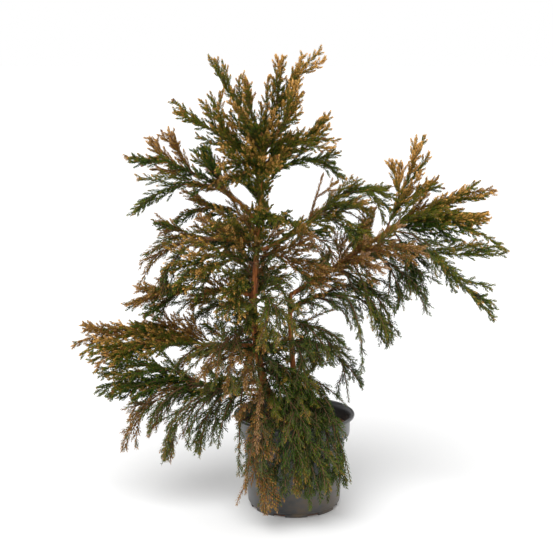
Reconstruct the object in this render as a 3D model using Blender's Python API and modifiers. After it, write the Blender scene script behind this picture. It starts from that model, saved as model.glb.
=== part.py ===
# A young cryptomeria, about a metre tall, in the black nursery pot it was grown in.
# Metres, +Z up. The origin is the middle of the pot's flat underside, and -Y is the side that was photographed.
import math
import random

import bmesh
import bpy
from mathutils import Vector
from mathutils.bvhtree import BVHTree

for old in list(bpy.data.objects):
    bpy.data.objects.remove(old, do_unlink=True)

# Pot
POT_HEIGHT = 0.1995
RIM_RADIUS = 0.1275
COLLAR_RADIUS = 0.1175
COLLAR_BOTTOM = 0.1600
WALL_TOP_RADIUS = 0.1065
WALL_TOP = 0.1500
WALL_FOOT_RADIUS = 0.0975
FOOT_RADIUS = 0.0930
FOOT_HEIGHT = 0.0080
SHELL = 0.0017
FLOOR_THICKNESS = 0.0026
POT_SIDES = 24
DRAIN_NOTCHES = 8
DRAIN_WIDTH = 0.026
DRAIN_HEIGHT = 0.0055
DRAIN_DEPTH = 0.009
DRAIN_BEARING = 295.0

# Compost
SOIL_LEVEL = 0.1730
SOIL_EDGE_DROP = 0.0030
SOIL_FLAT_RADIUS = 0.0500
SOIL_CLEARANCE = 0.0004

# Joining
SEAT_GAP = 0.0003
ROOM = 0.0010
GROUND_ROOM = 0.0120
SEAT_SEARCH = 12.0
SEAT_HALVINGS = 14

# Trunk and second stem
TRUNK_FOOT = (-0.014, -0.004)
TRUNK_LEAN = 0.074
TRUNK_LEAN_HEIGHT = 0.085
TRUNK_RETURN = 0.028
TRUNK_RETURN_START = 0.260
TRUNK_RETURN_HEIGHT = 0.340
TRUNK_TOP = 0.765
TRUNK_FOOT_RADIUS = 0.0100
TRUNK_TIP_RADIUS = 0.0030
ROOT_FLARE = 0.0050
ROOT_FLARE_HEIGHT = 0.0180
STEM_FOOT_RADIUS = 0.0072
STEM_TIP_RADIUS = 0.0044
STEM_FLARE = 0.0030
TRUNK_SIDES = 10
TRUNK_RINGS = 12
STEM_RINGS = 8
LIMB_SIDES = 8
LIMB_RINGS = 5
CURVE_STEPS = 24
LEADER_STEPS = 4
SHOOT_STEPS = 2

# Foliage
CORE_RADIUS = 0.0021
LEADER_RADIUS = 0.0024
CORE_TIP_RADIUS = 0.0012
TWIG_RADIUS = 0.0017
TOOTH_SPACING = 0.034
LONGEST_CONE = 0.30
TIP_SLIMMING = 0.50
LEADER_BARE = 0.50
SPRAY_BARE = 0.50
TWIG_BARE = 0.22
BACKSWEEP = 0.42
LARGEST_SCRAP = 2e-8
WELDS = (0.0005, 0.0003, 0.0001, 0.00001, 0.000002)
TOOTH_TWIST = 60.0
GOLDEN_ANGLE = 137.5
ROLL_PLAY = 15.0
VARIED = (0.85, 1.15)
LAST_TWIG = 0.92
SPARE_TWIG = 0.35
TWIG_SHORTENING = 0.4
TWIG_SHARE = 0.85
SHORTEST_TWIG = 0.010
FULL_NEEDLE_TWIG = 0.050
TRIES = 5


class Habit:
    """How the foliage of one part of the crown grows."""

    def __init__(self, needle, twig, spacing, fork, curl, first):
        self.needle = needle
        self.twig = twig
        self.spacing = spacing
        self.fork = fork
        self.curl = curl
        self.first = first


PLUME = Habit(needle=0.0130, twig=0.085, spacing=0.046, fork=33, curl=0.15, first=0.16)
SPRAY = Habit(needle=0.0150, twig=0.100, spacing=0.055, fork=36, curl=-0.15, first=0.16)
WEEP = Habit(needle=0.0150, twig=0.105, spacing=0.060, fork=32, curl=-0.40, first=0.16)


class Limb:
    """A tapering path that other things are placed along."""

    def __init__(self, points, radii):
        self.points = points
        self.radii = radii
        self.reached = [0.0]
        for a, b in zip(points, points[1:]):
            self.reached.append(self.reached[-1] + (b - a).length)
        self.length = self.reached[-1]

    def place(self, fraction):
        """Index of the stretch that holds this fraction of the length, and how far along it."""
        wanted = min(max(fraction, 0.0), 1.0) * self.length
        for i in range(len(self.points) - 1):
            if wanted <= self.reached[i + 1] or i == len(self.points) - 2:
                return i, (wanted - self.reached[i]) / (self.reached[i + 1] - self.reached[i])

    def at(self, fraction):
        i, part = self.place(fraction)
        return self.points[i].lerp(self.points[i + 1], part)

    def along(self, fraction):
        i, part = self.place(fraction)
        last = len(self.points) - 2
        near = i + 1 if part > 0.5 else i - 1
        near = min(max(near, 0), last)
        here = (self.points[i + 1] - self.points[i]).normalized()
        there = (self.points[near + 1] - self.points[near]).normalized()
        return here.lerp(there, abs(part - 0.5)).normalized()

    def radius(self, fraction):
        i, part = self.place(fraction)
        return self.radii[i] * (1 - part) + self.radii[i + 1] * part


def aim(bearing, rise):
    """Unit direction from a compass bearing (0 is +X, 90 is +Y) and a climb, in degrees."""
    b = math.radians(bearing)
    r = math.radians(rise)
    return Vector((math.cos(b) * math.cos(r), math.sin(b) * math.cos(r), math.sin(r)))


def sweep(root, bearing, rise, reach, arch, bow, steps=CURVE_STEPS):
    """Points of a bent limb: it ends at reach, and its middle stands off the straight line by arch and bow."""
    chord = aim(bearing, rise) * reach
    side = Vector((chord.y, -chord.x, 0.0)).normalized()
    up = side.cross(chord).normalized()
    knee = root + chord / 2 + up * (2 * arch) + side * (2 * bow)
    tip = root + chord
    return [bent(root, knee, tip, i / steps) for i in range(steps + 1)]


def bent(a, b, c, t):
    return a * (1 - t) ** 2 + b * (2 * t * (1 - t)) + c * (t * t)


def turned(direction, fork, roll):
    """A direction that leaves another one at the fork angle: roll 0 is to its right, 90 above, -90 below."""
    side = direction.cross(Vector((0, 0, 1)))
    if side.length < 0.05:
        side = Vector((1, 0, 0))
    side.normalize()
    up = side.cross(direction).normalized()
    f = math.radians(fork)
    r = math.radians(roll)
    return direction * math.cos(f) + (side * math.cos(r) + up * math.sin(r)) * math.sin(f)


def trunk_centre(z):
    height = z - SOIL_LEVEL
    lean = TRUNK_LEAN * (1 - math.exp(-height / TRUNK_LEAN_HEIGHT))
    back = TRUNK_RETURN * min(max((height - TRUNK_RETURN_START) / TRUNK_RETURN_HEIGHT, 0.0), 1.1)
    return Vector((TRUNK_FOOT[0] - lean + back, TRUNK_FOOT[1], z))


def taper(count, foot, tip, flare=0.0, height=0.0):
    """Radii along a stem of this height, thinning evenly and flaring where it stands on the compost."""
    radii = []
    for i in range(count):
        t = i / (count - 1)
        spread = flare * math.exp(-t * height / ROOT_FLARE_HEIGHT) if flare else 0.0
        radii.append(foot + (tip - foot) * t + spread)
    return radii


def seated(parent, fraction, points, body_of):
    """Cuts the foot off a curve so that the body made round it starts a seat gap clear of its parent."""
    limb = LIMBS[parent]
    tree = next(t for owner, t, low, high in SOLIDS if owner == parent)
    heading = (points[1] - points[0]).normalized()
    along = limb.along(fraction)
    if fraction >= 1.0:
        inward = heading * heading.dot(along) - along
    else:
        out = (heading - along * heading.dot(along)).normalized()
        inward = heading * heading.dot(out) - out
    if inward.length < 0.05:
        inward = heading.orthogonal()
    inward.normalize()
    near = 0.0
    far = SEAT_SEARCH * limb.radius(fraction)
    for halving in range(SEAT_HALVINGS):
        middle = (near + far) / 2
        body = body_of(cut_back(points, middle), inward)
        if BVHTree.FromBMesh(body).overlap(tree):
            near = middle
        else:
            far = middle
        body.free()
    return cut_back(points, far + SEAT_GAP), inward


def cut_back(points, distance):
    """A curve without its first stretch."""
    heading = (points[1] - points[0]).normalized()
    kept = [p for p in points if (p - points[0]).length > distance * 1.3]
    return [points[0] + heading * distance] + kept


def ring_points(centre, along, mark, radius, sides, turn):
    first = (mark - along * mark.dot(along)).normalized()
    second = along.cross(first)
    points = []
    for i in range(sides):
        a = 2 * math.pi * i / sides + math.radians(turn)
        points.append(centre + first * (radius * math.cos(a)) + second * (radius * math.sin(a)))
    return points


def ring(bm, centre, along, mark, radius, sides, turn=0.0):
    """A ring of vertices round a path, its first corner on the mark's side or turned on from it."""
    return [bm.verts.new(p) for p in ring_points(centre, along, mark, radius, sides, turn)]


def skin(bm, rings, tip=None):
    """Closes rings of vertices into a solid, with a flat end or a pointed one."""
    bm.faces.new(list(reversed(rings[0])))
    for a, b in zip(rings, rings[1:]):
        for i in range(len(a)):
            j = (i + 1) % len(a)
            bm.faces.new((a[i], a[j], b[j], b[i]))
    last = rings[-1]
    if tip is None:
        bm.faces.new(last)
    else:
        point = bm.verts.new(tip)
        for i in range(len(last)):
            bm.faces.new((last[i], last[(i + 1) % len(last)], point))


def finished(name, bm, colour, roughness, collection, smooth=False):
    """Turns a mesh into a named object with its own material."""
    bmesh.ops.recalc_face_normals(bm, faces=bm.faces)
    mesh = bpy.data.meshes.new(name)
    bm.to_mesh(mesh)
    bm.free()
    for polygon in mesh.polygons:
        polygon.use_smooth = smooth
    thing = bpy.data.objects.new(name, mesh)
    collection.objects.link(thing)
    paint(thing, colour, roughness)
    return thing


def paint(thing, colour, roughness):
    material = bpy.data.materials.new(thing.name + "_material")
    material.use_nodes = True
    surface = material.node_tree.nodes["Principled BSDF"]
    surface.inputs["Base Color"].default_value = (*colour, 1.0)
    surface.inputs["Roughness"].default_value = roughness
    material.diffuse_color = (*colour, 1.0)
    thing.data.materials.clear()
    thing.data.materials.append(material)


plant = bpy.data.collections.new("cryptomeria_in_pot")
bpy.context.scene.collection.children.link(plant)
spare = bpy.data.collections.new("cutters")
bpy.context.scene.collection.children.link(spare)

BLACK_PLASTIC = (0.035, 0.036, 0.040)
COMPOST_BROWN = (0.110, 0.055, 0.032)
RED_BARK = (0.300, 0.125, 0.060)
GOLDEN_GREEN = (0.290, 0.200, 0.060)
OLIVE_GREEN = (0.110, 0.125, 0.035)
DEEP_GREEN = (0.045, 0.075, 0.025)
RUSSET_GREEN = (0.170, 0.095, 0.045)


def outer_wall():
    """Outer profile of the pot from the middle of its underside to the lip, as radius and height."""
    return [
        (0.0, 0.0),
        (FOOT_RADIUS, 0.0),
        (FOOT_RADIUS, FOOT_HEIGHT),
        (WALL_FOOT_RADIUS, FOOT_HEIGHT + 0.003),
        (WALL_TOP_RADIUS, WALL_TOP),
        (WALL_TOP_RADIUS + 0.0085, WALL_TOP + 0.004),
        (COLLAR_RADIUS, COLLAR_BOTTOM),
        (COLLAR_RADIUS + 0.0005, POT_HEIGHT - 0.0110),
        (RIM_RADIUS - 0.0020, POT_HEIGHT - 0.0055),
        (RIM_RADIUS, POT_HEIGHT - 0.0030),
        (RIM_RADIUS - 0.0015, POT_HEIGHT),
    ]


def inner_wall():
    """Inner profile of the pot from the lip down to the middle of its floor."""
    return [
        (RIM_RADIUS - 0.0075, POT_HEIGHT - 0.0015),
        (COLLAR_RADIUS + 0.0005 - SHELL, POT_HEIGHT - 0.0105),
        (COLLAR_RADIUS - SHELL, COLLAR_BOTTOM + 0.0010),
        (WALL_TOP_RADIUS + 0.0080 - SHELL, WALL_TOP + 0.0058),
        (WALL_TOP_RADIUS - SHELL, WALL_TOP + 0.0015),
        (WALL_FOOT_RADIUS - SHELL, FOOT_HEIGHT + 0.0050),
        (FOOT_RADIUS - SHELL, FOOT_HEIGHT + 0.0020),
        (FOOT_RADIUS - SHELL, FLOOR_THICKNESS),
        (0.0, FLOOR_THICKNESS),
    ]


def turned_solid(name, profile, colour, roughness):
    """Spins a profile that runs up the outside and back down the inside into a closed round solid."""
    mesh = bpy.data.meshes.new(name)
    bm = bmesh.new()
    corners = [bm.verts.new((r, 0.0, z)) for r, z in profile]
    for a, b in zip(corners, corners[1:]):
        bm.edges.new((a, b))
    bm.to_mesh(mesh)
    bm.free()
    thing = bpy.data.objects.new(name, mesh)
    plant.objects.link(thing)
    screw = thing.modifiers.new("Screw", "SCREW")
    screw.angle = 2 * math.pi
    screw.steps = POT_SIDES
    screw.render_steps = POT_SIDES
    screw.use_merge_vertices = True
    screw.merge_threshold = 0.0001
    screw.use_normal_calculate = True
    settle(thing)
    for polygon in thing.data.polygons:
        polygon.use_smooth = True
    paint(thing, colour, roughness)
    return thing


def settle(thing):
    """Keeps what the modifiers make as the object's own mesh."""
    seen = thing.evaluated_get(bpy.context.evaluated_depsgraph_get())
    mesh = bpy.data.meshes.new_from_object(seen)
    thing.modifiers.clear()
    before = thing.data
    thing.data = mesh
    bpy.data.meshes.remove(before)


def drain_cutter():
    """Blocks round the foot that cut its drain notches."""
    mesh = bpy.data.meshes.new("drain_cutter")
    bm = bmesh.new()
    for k in range(DRAIN_NOTCHES):
        b = math.radians(DRAIN_BEARING + 360.0 * k / DRAIN_NOTCHES)
        out = Vector((math.cos(b), math.sin(b), 0.0))
        side = Vector((-out.y, out.x, 0.0))
        near = FOOT_RADIUS - DRAIN_DEPTH
        far = FOOT_RADIUS + 0.004
        half = DRAIN_WIDTH / 2
        low = Vector((0, 0, -0.002))
        high = Vector((0, 0, DRAIN_HEIGHT))
        rings = []
        for level in (low, high):
            rings.append([
                bm.verts.new(out * near - side * half + level),
                bm.verts.new(out * far - side * half + level),
                bm.verts.new(out * far + side * half + level),
                bm.verts.new(out * near + side * half + level),
            ])
        skin(bm, rings)
    bmesh.ops.recalc_face_normals(bm, faces=bm.faces)
    bm.to_mesh(mesh)
    bm.free()
    cutter = bpy.data.objects.new("drain_cutter", mesh)
    spare.objects.link(cutter)
    cutter.hide_render = True
    cutter.display_type = "WIRE"
    return cutter


def make_pot():
    pot = turned_solid("pot", outer_wall() + inner_wall(), BLACK_PLASTIC, 0.45)
    cutter = drain_cutter()
    cut = pot.modifiers.new("Drains", "BOOLEAN")
    cut.operation = "DIFFERENCE"
    cut.object = cutter
    cut.solver = "EXACT"
    settle(pot)
    bpy.data.objects.remove(cutter, do_unlink=True)
    claim_object(pot)


def make_compost():
    """The filling follows the inside of the pot, a hair clear of it."""
    c = SOIL_CLEARANCE
    edge = SOIL_LEVEL - SOIL_EDGE_DROP
    profile = [
        (0.0, FLOOR_THICKNESS + c),
        (FOOT_RADIUS - SHELL - c, FLOOR_THICKNESS + c),
        (FOOT_RADIUS - SHELL - c, FOOT_HEIGHT + 0.0020 + c),
        (WALL_FOOT_RADIUS - SHELL - c, FOOT_HEIGHT + 0.0050 + c),
        (WALL_TOP_RADIUS - SHELL - c, WALL_TOP + 0.0015 + c),
        (WALL_TOP_RADIUS + 0.0080 - SHELL - c, WALL_TOP + 0.0058 + c),
        (COLLAR_RADIUS - SHELL - c, COLLAR_BOTTOM + 0.0010 + c),
        (COLLAR_RADIUS - SHELL - c, edge),
        (SOIL_FLAT_RADIUS, SOIL_LEVEL),
        (0.0, SOIL_LEVEL),
    ]
    claim_object(turned_solid("compost", profile, COMPOST_BROWN, 0.95))


LIMBS = {}
SOLIDS = []


def extent(bm):
    """Lowest and highest corner of the box round a body."""
    low = Vector([min(v.co[k] for v in bm.verts) for k in range(3)])
    high = Vector([max(v.co[k] for v in bm.verts) for k in range(3)])
    return low, high


def claim(owner, bm):
    """Books the space of a solid, so that no other piece grows into it."""
    bm.normal_update()
    SOLIDS.append((owner, BVHTree.FromBMesh(bm), *extent(bm)))


def claim_object(thing):
    bm = bmesh.new()
    bm.from_mesh(thing.data)
    claim(thing.name, bm)
    bm.free()


def touching(bm, leave_out=()):
    """Names of the booked pieces that a body runs into, or of the ground."""
    low, high = extent(bm)
    if low.z < GROUND_ROOM:
        return ["ground"]
    body = BVHTree.FromBMesh(bm)
    met = []
    for other, tree, floor, ceiling in SOLIDS:
        apart = any(low[k] > ceiling[k] or high[k] < floor[k] for k in range(3))
        if not apart and other not in leave_out and body.overlap(tree):
            met.append(other)
    return met


def limb_body(limb, sides, rings, mark, swell=0.0, flat_foot=False):
    """A round tapering limb as a solid, the foot of a stem on the compost cut level."""
    bm = bmesh.new()
    loops = []
    for i in range(rings + 1):
        f = i / rings
        along = limb.along(f)
        if flat_foot and i == 0:
            along = Vector((0, 0, 1))
        loops.append(ring(bm, limb.at(f), along, mark, limb.radius(f) + swell, sides))
    skin(bm, loops)
    return bm


def make_stem(name, limb, sides, rings, mark=Vector((0, -1, 0.2)), flat_foot=False):
    bm = limb_body(limb, sides, rings, mark, 0.0, flat_foot)
    claim(name, bm)
    finished(name, bm, RED_BARK, 0.85, plant, smooth=True)


def make_trunk():
    foot = SOIL_LEVEL + SEAT_GAP
    heights = [foot + (TRUNK_TOP - foot) * (i / 40) ** 1.15 for i in range(41)]
    points = [trunk_centre(z) for z in heights]
    radii = taper(41, TRUNK_FOOT_RADIUS, TRUNK_TIP_RADIUS, ROOT_FLARE, TRUNK_TOP - foot)
    LIMBS["trunk"] = Limb(points, radii)
    make_stem("trunk", LIMBS["trunk"], TRUNK_SIDES, TRUNK_RINGS, flat_foot=True)


def make_second_stem():
    foot = Vector((0.016, 0.012, SOIL_LEVEL + SEAT_GAP))
    points = sweep(foot, bearing=185, rise=85, reach=0.279, arch=-0.006, bow=0.020)
    radii = taper(len(points), STEM_FOOT_RADIUS, STEM_TIP_RADIUS, STEM_FLARE, 0.279)
    LIMBS["second_stem"] = Limb(points, radii)
    make_stem("second_stem", LIMBS["second_stem"], TRUNK_SIDES, STEM_RINGS, flat_foot=True)


def trunk_fraction(height):
    """Fraction of the trunk's length at which it passes a height."""
    trunk = LIMBS["trunk"]
    for i in range(len(trunk.points) - 1):
        a = trunk.points[i].z
        b = trunk.points[i + 1].z
        if a <= height <= b:
            part = (height - a) / (b - a)
            return (trunk.reached[i] * (1 - part) + trunk.reached[i + 1] * part) / trunk.length
    return 1.0


def root_of(parent, at):
    """Where on its parent a limb starts: a height for the trunk, a fraction of the length for any other."""
    fraction = trunk_fraction(at) if parent == "trunk" else at
    return fraction, LIMBS[parent].at(fraction)


def bough(name, parent, at, bearing, rise, reach, arch=0.0, bow=0.0, foot=0.0040, tip=0.0028):
    fraction, root = root_of(parent, at)

    def body_of(points, mark):
        return limb_body(Limb(points, taper(len(points), foot, tip)), LIMB_SIDES, LIMB_RINGS, mark, SEAT_GAP)

    points, inward = seated(parent, fraction, sweep(root, bearing, rise, reach, arch, bow), body_of)
    LIMBS[name] = Limb(points, taper(len(points), foot, tip))
    make_stem(name, LIMBS[name], LIMB_SIDES, LIMB_RINGS, mark=inward)


class Shoot:
    """One needled shoot: its path, how wide its needles stand, and how far along it they start."""

    def __init__(self, points, core, needle, bare, mark=None):
        self.limb = Limb(points, taper(len(points), core, CORE_TIP_RADIUS))
        self.needle = needle
        self.bare = bare
        self.teeth = max(2, round(self.limb.length * (1 - bare) / TOOTH_SPACING))
        self.mark = mark or self.limb.along(0).orthogonal()


def leader_shoot(points, habit, mark):
    """The stem of a mass, on straight stretches that its sprays can root in."""
    path = Limb(points, [LEADER_RADIUS] * len(points))
    corners = [path.at(k / LEADER_STEPS) for k in range(LEADER_STEPS + 1)]
    return Shoot(corners, LEADER_RADIUS, habit.needle, LEADER_BARE, mark)


def shoot_points(root, direction, length, curl):
    """A shoot that ends in a direction from its root, and bows up or hangs on the way by its curl."""
    knee = root + (direction - Vector((0, 0, curl))).normalized() * (length * 0.5)
    tip = root + direction * length
    return [bent(root, knee, tip, i / SHOOT_STEPS) for i in range(SHOOT_STEPS + 1)]


def shoot_body(shoot, swell=0.0):
    """A slim three-sided core with rings of needle points that lean forward off it."""
    bm = bmesh.new()
    limb = shoot.limb
    rings = []
    turns = []

    def add(f, radius, turn):
        rings.append(ring(bm, limb.at(f), limb.along(f), shoot.mark, radius + swell, 3, turn))
        turns.append(turn)

    add(0.0, limb.radius(0), 0.0)
    if shoot.bare > LONGEST_CONE:
        if len(limb.points) > LEADER_STEPS:
            add(shoot.bare / 2, limb.radius(shoot.bare / 2), 0.0)
        add(shoot.bare, limb.radius(shoot.bare), 0.0)
    step = (1.0 - shoot.bare) / (shoot.teeth + 0.30)
    for k in range(shoot.teeth):
        turn = TOOTH_TWIST * (k + 1)
        f = shoot.bare + step * (k + 0.85)
        add(f, shoot.needle * (1.0 - TIP_SLIMMING * k / (shoot.teeth - 1)), turn)
        if k < shoot.teeth - 1:
            f = f - step * BACKSWEEP
            add(f, limb.radius(f), turn)
    skin_twisted(bm, rings, turns, limb.at(1.0) + limb.along(1.0) * swell)
    return bm


def skin_twisted(bm, rings, turns, tip):
    """Closes three-cornered rings, each in line with the last or a sixth of a turn on from it."""
    bm.faces.new(list(reversed(rings[0])))
    for k in range(len(rings) - 1):
        a = rings[k]
        b = rings[k + 1]
        for i in range(3):
            j = (i + 1) % 3
            if turns[k] == turns[k + 1]:
                bm.faces.new((a[i], a[j], b[j]))
                bm.faces.new((a[i], b[j], b[i]))
            else:
                bm.faces.new((a[i], a[j], b[i]))
                bm.faces.new((a[j], b[j], b[i]))
    last = rings[-1]
    point = bm.verts.new(tip)
    for i in range(3):
        bm.faces.new((last[i], last[(i + 1) % 3], point))


def shoot_object(name, shoot, collection):
    bm = shoot_body(shoot)
    mesh = bpy.data.meshes.new(name)
    bm.to_mesh(mesh)
    bm.free()
    thing = bpy.data.objects.new(name, mesh)
    collection.objects.link(thing)
    return thing


def side_shoots(name, rank, leader, habit, chance):
    """The growth rule: shoots wind up a leader, a golden angle apart, shorter toward its tip."""
    shoots = []
    span = LAST_TWIG - habit.first
    count = int(leader.length * span / habit.spacing + SPARE_TWIG)
    roll = chance.uniform(0, 360)
    for k in range(count):
        f = habit.first + span * (k + chance.uniform(0.2, 0.8)) / count
        left = leader.length * (1 - f)
        length = habit.twig * (1.05 - TWIG_SHORTENING * f) * chance.uniform(*VARIED)
        length = min(length, TWIG_SHARE * left + SHORTEST_TWIG)
        for attempt in range(TRIES):
            roll = roll + GOLDEN_ANGLE + chance.uniform(-ROLL_PLAY, ROLL_PLAY)
            direction = turned(leader.along(f), habit.fork * chance.uniform(*VARIED), roll)
            points = shoot_points(leader.at(f), direction, length, habit.curl)
            if in_open_sky(points):
                continue
            needle = habit.needle * min(1.0, length / FULL_NEEDLE_TWIG)
            shoot = Shoot(points, TWIG_RADIUS, needle, TWIG_BARE)
            label = "%s twig %d %d" % (name, rank, k)
            if not settle_shoot(label, shoot, ROOM, ("%s leader %d" % (name, rank),)):
                shoots.append(shoot)
                break
    return shoots


def settle_shoot(label, shoot, room, leave_out=()):
    """Books a shoot's space if it keeps clear of everything else, and says what it meets."""
    body = shoot_body(shoot, room)
    met = touching(body, leave_out)
    body.free()
    if not met:
        body = shoot_body(shoot)
        claim(label, body)
        body.free()
    return met


# Gaps of sky in the crown as they show from the front: across and up at the trunk's plane, and half-sizes.
EYE = Vector((-0.037, -2.65, 0.98))
SKY_GAPS = (
    (0.006, 0.671, 0.050, 0.034),
    (-0.110, 0.663, 0.016, 0.020),
)


def in_open_sky(points):
    """True where a twig would cross one of the gaps."""
    for p in points[1:]:
        t = EYE.y / (EYE.y - p.y)
        x = EYE.x + (p.x - EYE.x) * t
        z = EYE.z + (p.z - EYE.z) * t
        for gap_x, gap_z, half_x, half_z in SKY_GAPS:
            if ((x - gap_x) / half_x) ** 2 + ((z - gap_z) / half_z) ** 2 < 1.0:
                return True
    return False


def foliage(name, parent, at, habit, bearing, rise, reach, arch=0.0, bow=0.0, sprays=(),
            colour=OLIVE_GREEN, seed=1):
    """One mass: a stem seated on its parent, sprays that fork from it, and side shoots by the growth rule."""
    fraction, root = root_of(parent, at)

    def body_of(points, mark):
        return shoot_body(leader_shoot(points, habit, mark), SEAT_GAP)

    points, inward = seated(parent, fraction, sweep(root, bearing, rise, reach, arch, bow), body_of)
    leader = leader_shoot(points, habit, inward)
    shoots = [leader]
    for f, fork, roll, length in sprays:
        direction = turned(leader.limb.along(f), fork, roll)
        path = shoot_points(leader.limb.at(f), direction, length, habit.curl)
        shoots.append(Shoot(path, CORE_RADIUS, habit.needle, SPRAY_BARE))
    own = ["%s leader %d" % (name, rank) for rank in range(len(shoots))]
    for label, shoot in zip(own, shoots):
        met = settle_shoot(label, shoot, SEAT_GAP / 2, own)
        if met:
            raise ValueError("%s runs into %s" % (label, met[0]))
    MASSES.append((name, habit, shoots, random.Random(seed), colour))


MASSES = []


def fuse(name, shoots, colour):
    """Joins the shoots of a mass into one closed solid."""
    group = bpy.data.collections.new(name + "_shoots")
    bpy.context.scene.collection.children.link(group)
    base = shoot_object(name, shoots[0], plant)
    for shoot in shoots[1:]:
        shoot_object(name + "_shoot", shoot, group)
    for solver in ("EXACT", "MANIFOLD"):
        join = base.modifiers.new("Join", "BOOLEAN")
        join.operation = "UNION"
        join.operand_type = "COLLECTION"
        join.collection = group
        join.solver = solver
        seen = base.evaluated_get(bpy.context.evaluated_depsgraph_get())
        mesh = bpy.data.meshes.new_from_object(seen)
        base.modifiers.clear()
        if tidy(mesh):
            break
    else:
        raise ValueError(name + " does not join into one solid")
    before = base.data
    base.data = mesh
    bpy.data.meshes.remove(before)
    for thing in list(group.objects):
        bpy.data.objects.remove(thing, do_unlink=True)
    bpy.data.collections.remove(group)
    paint(base, colour, 0.8)


def shells(bm):
    """The separate closed surfaces in a mesh, as lists of faces."""
    left = set(bm.faces)
    found = []
    while left:
        stack = [left.pop()]
        shell = []
        while stack:
            face = stack.pop()
            shell.append(face)
            for edge in face.edges:
                for near in edge.link_faces:
                    if near in left:
                        left.remove(near)
                        stack.append(near)
        found.append(shell)
    return found


def shell_volume(shell):
    total = 0.0
    for face in shell:
        corners = [v.co for v in face.verts]
        for i in range(1, len(corners) - 1):
            total += corners[0].dot(corners[i].cross(corners[i + 1])) / 6
    return total


def tidy(mesh):
    """Keeps the one outer surface of a fused mass, without scraps or sealed hollows, and says if it is whole."""
    for weld in WELDS:
        bm = bmesh.new()
        bm.from_mesh(mesh)
        bmesh.ops.remove_doubles(bm, verts=bm.verts, dist=weld)
        bmesh.ops.dissolve_degenerate(bm, edges=bm.edges, dist=weld / 2)
        found = sorted(shells(bm), key=shell_volume)
        lost = sum(abs(shell_volume(shell)) for shell in found[:-1])
        for shell in found[:-1]:
            bmesh.ops.delete(bm, geom=shell, context="FACES")
        loose = [v for v in bm.verts if not v.link_faces]
        bmesh.ops.delete(bm, geom=loose, context="VERTS")
        bmesh.ops.triangulate(bm, faces=bm.faces)
        whole = all(e.is_manifold for e in bm.edges) and lost < LARGEST_SCRAP
        if whole:
            bm.to_mesh(mesh)
            bm.free()
            return True
        bm.free()
    return False


def make_boughs():
    bough("left_high_bough", "trunk", 0.602, bearing=172, rise=40, reach=0.126, arch=0.007)
    bough("left_second_bough", "trunk", 0.568, bearing=178, rise=2, reach=0.094)
    bough("left_third_bough", "trunk", 0.450, bearing=178, rise=6, reach=0.103, arch=0.006)
    bough("left_long_bough", "trunk", 0.345, bearing=168, rise=-2, reach=0.112, foot=0.0045, tip=0.0030)
    bough("left_low_bough", "trunk", 0.275, bearing=178, rise=-5, reach=0.132, arch=-0.012, foot=0.0045)
    bough("curtain_bough", "trunk", 0.250, bearing=194, rise=4, reach=0.094)
    bough("arch_bough", "trunk", 0.543, bearing=2, rise=32, reach=0.159, arch=-0.007, foot=0.0042)
    bough("right_main_bough", "second_stem", 1.0, bearing=355, rise=35, reach=0.258, arch=-0.004,
          bow=0.005, foot=0.0042, tip=0.0032)
    bough("right_low_bough", "second_stem", 0.86, bearing=350, rise=19, reach=0.123, arch=0.016, bow=0.009)
    bough("back_right_bough", "second_stem", 0.60, bearing=49, rise=-11, reach=0.095, arch=0.009)


def grow_crown_top():
    """The shoots round the trunk's tip: upright plumes with golden points."""
    foliage("crown_leader", "trunk", 0.765, PLUME, bearing=21, rise=57, reach=0.227, arch=0.015, bow=-0.009,
            sprays=((0.26, 34, 53, 0.126),), colour=GOLDEN_GREEN, seed=2)
    foliage("crown_middle", "trunk", 0.757, PLUME, bearing=227, rise=67, reach=0.161, arch=-0.007,
            colour=GOLDEN_GREEN, seed=15)
    foliage("crown_left_leader", "trunk", 0.737, PLUME, bearing=163, rise=60, reach=0.234, bow=0.007,
            colour=OLIVE_GREEN, seed=15)
    foliage("crown_left", "trunk", 0.716, PLUME, bearing=185, rise=37, reach=0.229,
            sprays=((0.36, 34, 108, 0.114),), colour=OLIVE_GREEN, seed=34)
    foliage("crown_right_fan", "trunk", 0.747, PLUME, bearing=314, rise=49, reach=0.161,
            sprays=((0.46, 34, 125, 0.092),), colour=GOLDEN_GREEN, seed=9)
    foliage("crown_right", "trunk", 0.722, PLUME, bearing=346, rise=19, reach=0.163, arch=0.021,
            sprays=((0.50, 34, 135, 0.086),), colour=GOLDEN_GREEN, seed=28)
    foliage("crown_arch", "trunk", 0.668, SPRAY, bearing=11, rise=7, reach=0.177, arch=0.054,
            sprays=((0.62, 34, 70, 0.055),), colour=OLIVE_GREEN, seed=31)
    foliage("crown_front", "trunk", 0.700, PLUME, bearing=235, rise=12, reach=0.147, arch=0.021,
            sprays=((0.20, 40, -83, 0.097), (0.20, 60, -170, 0.112)), colour=GOLDEN_GREEN, seed=15)
    foliage("crown_back", "trunk", 0.735, PLUME, bearing=113, rise=29, reach=0.154, arch=0.010,
            sprays=((0.20, 45, -18, 0.121),), colour=OLIVE_GREEN, seed=15)


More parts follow.
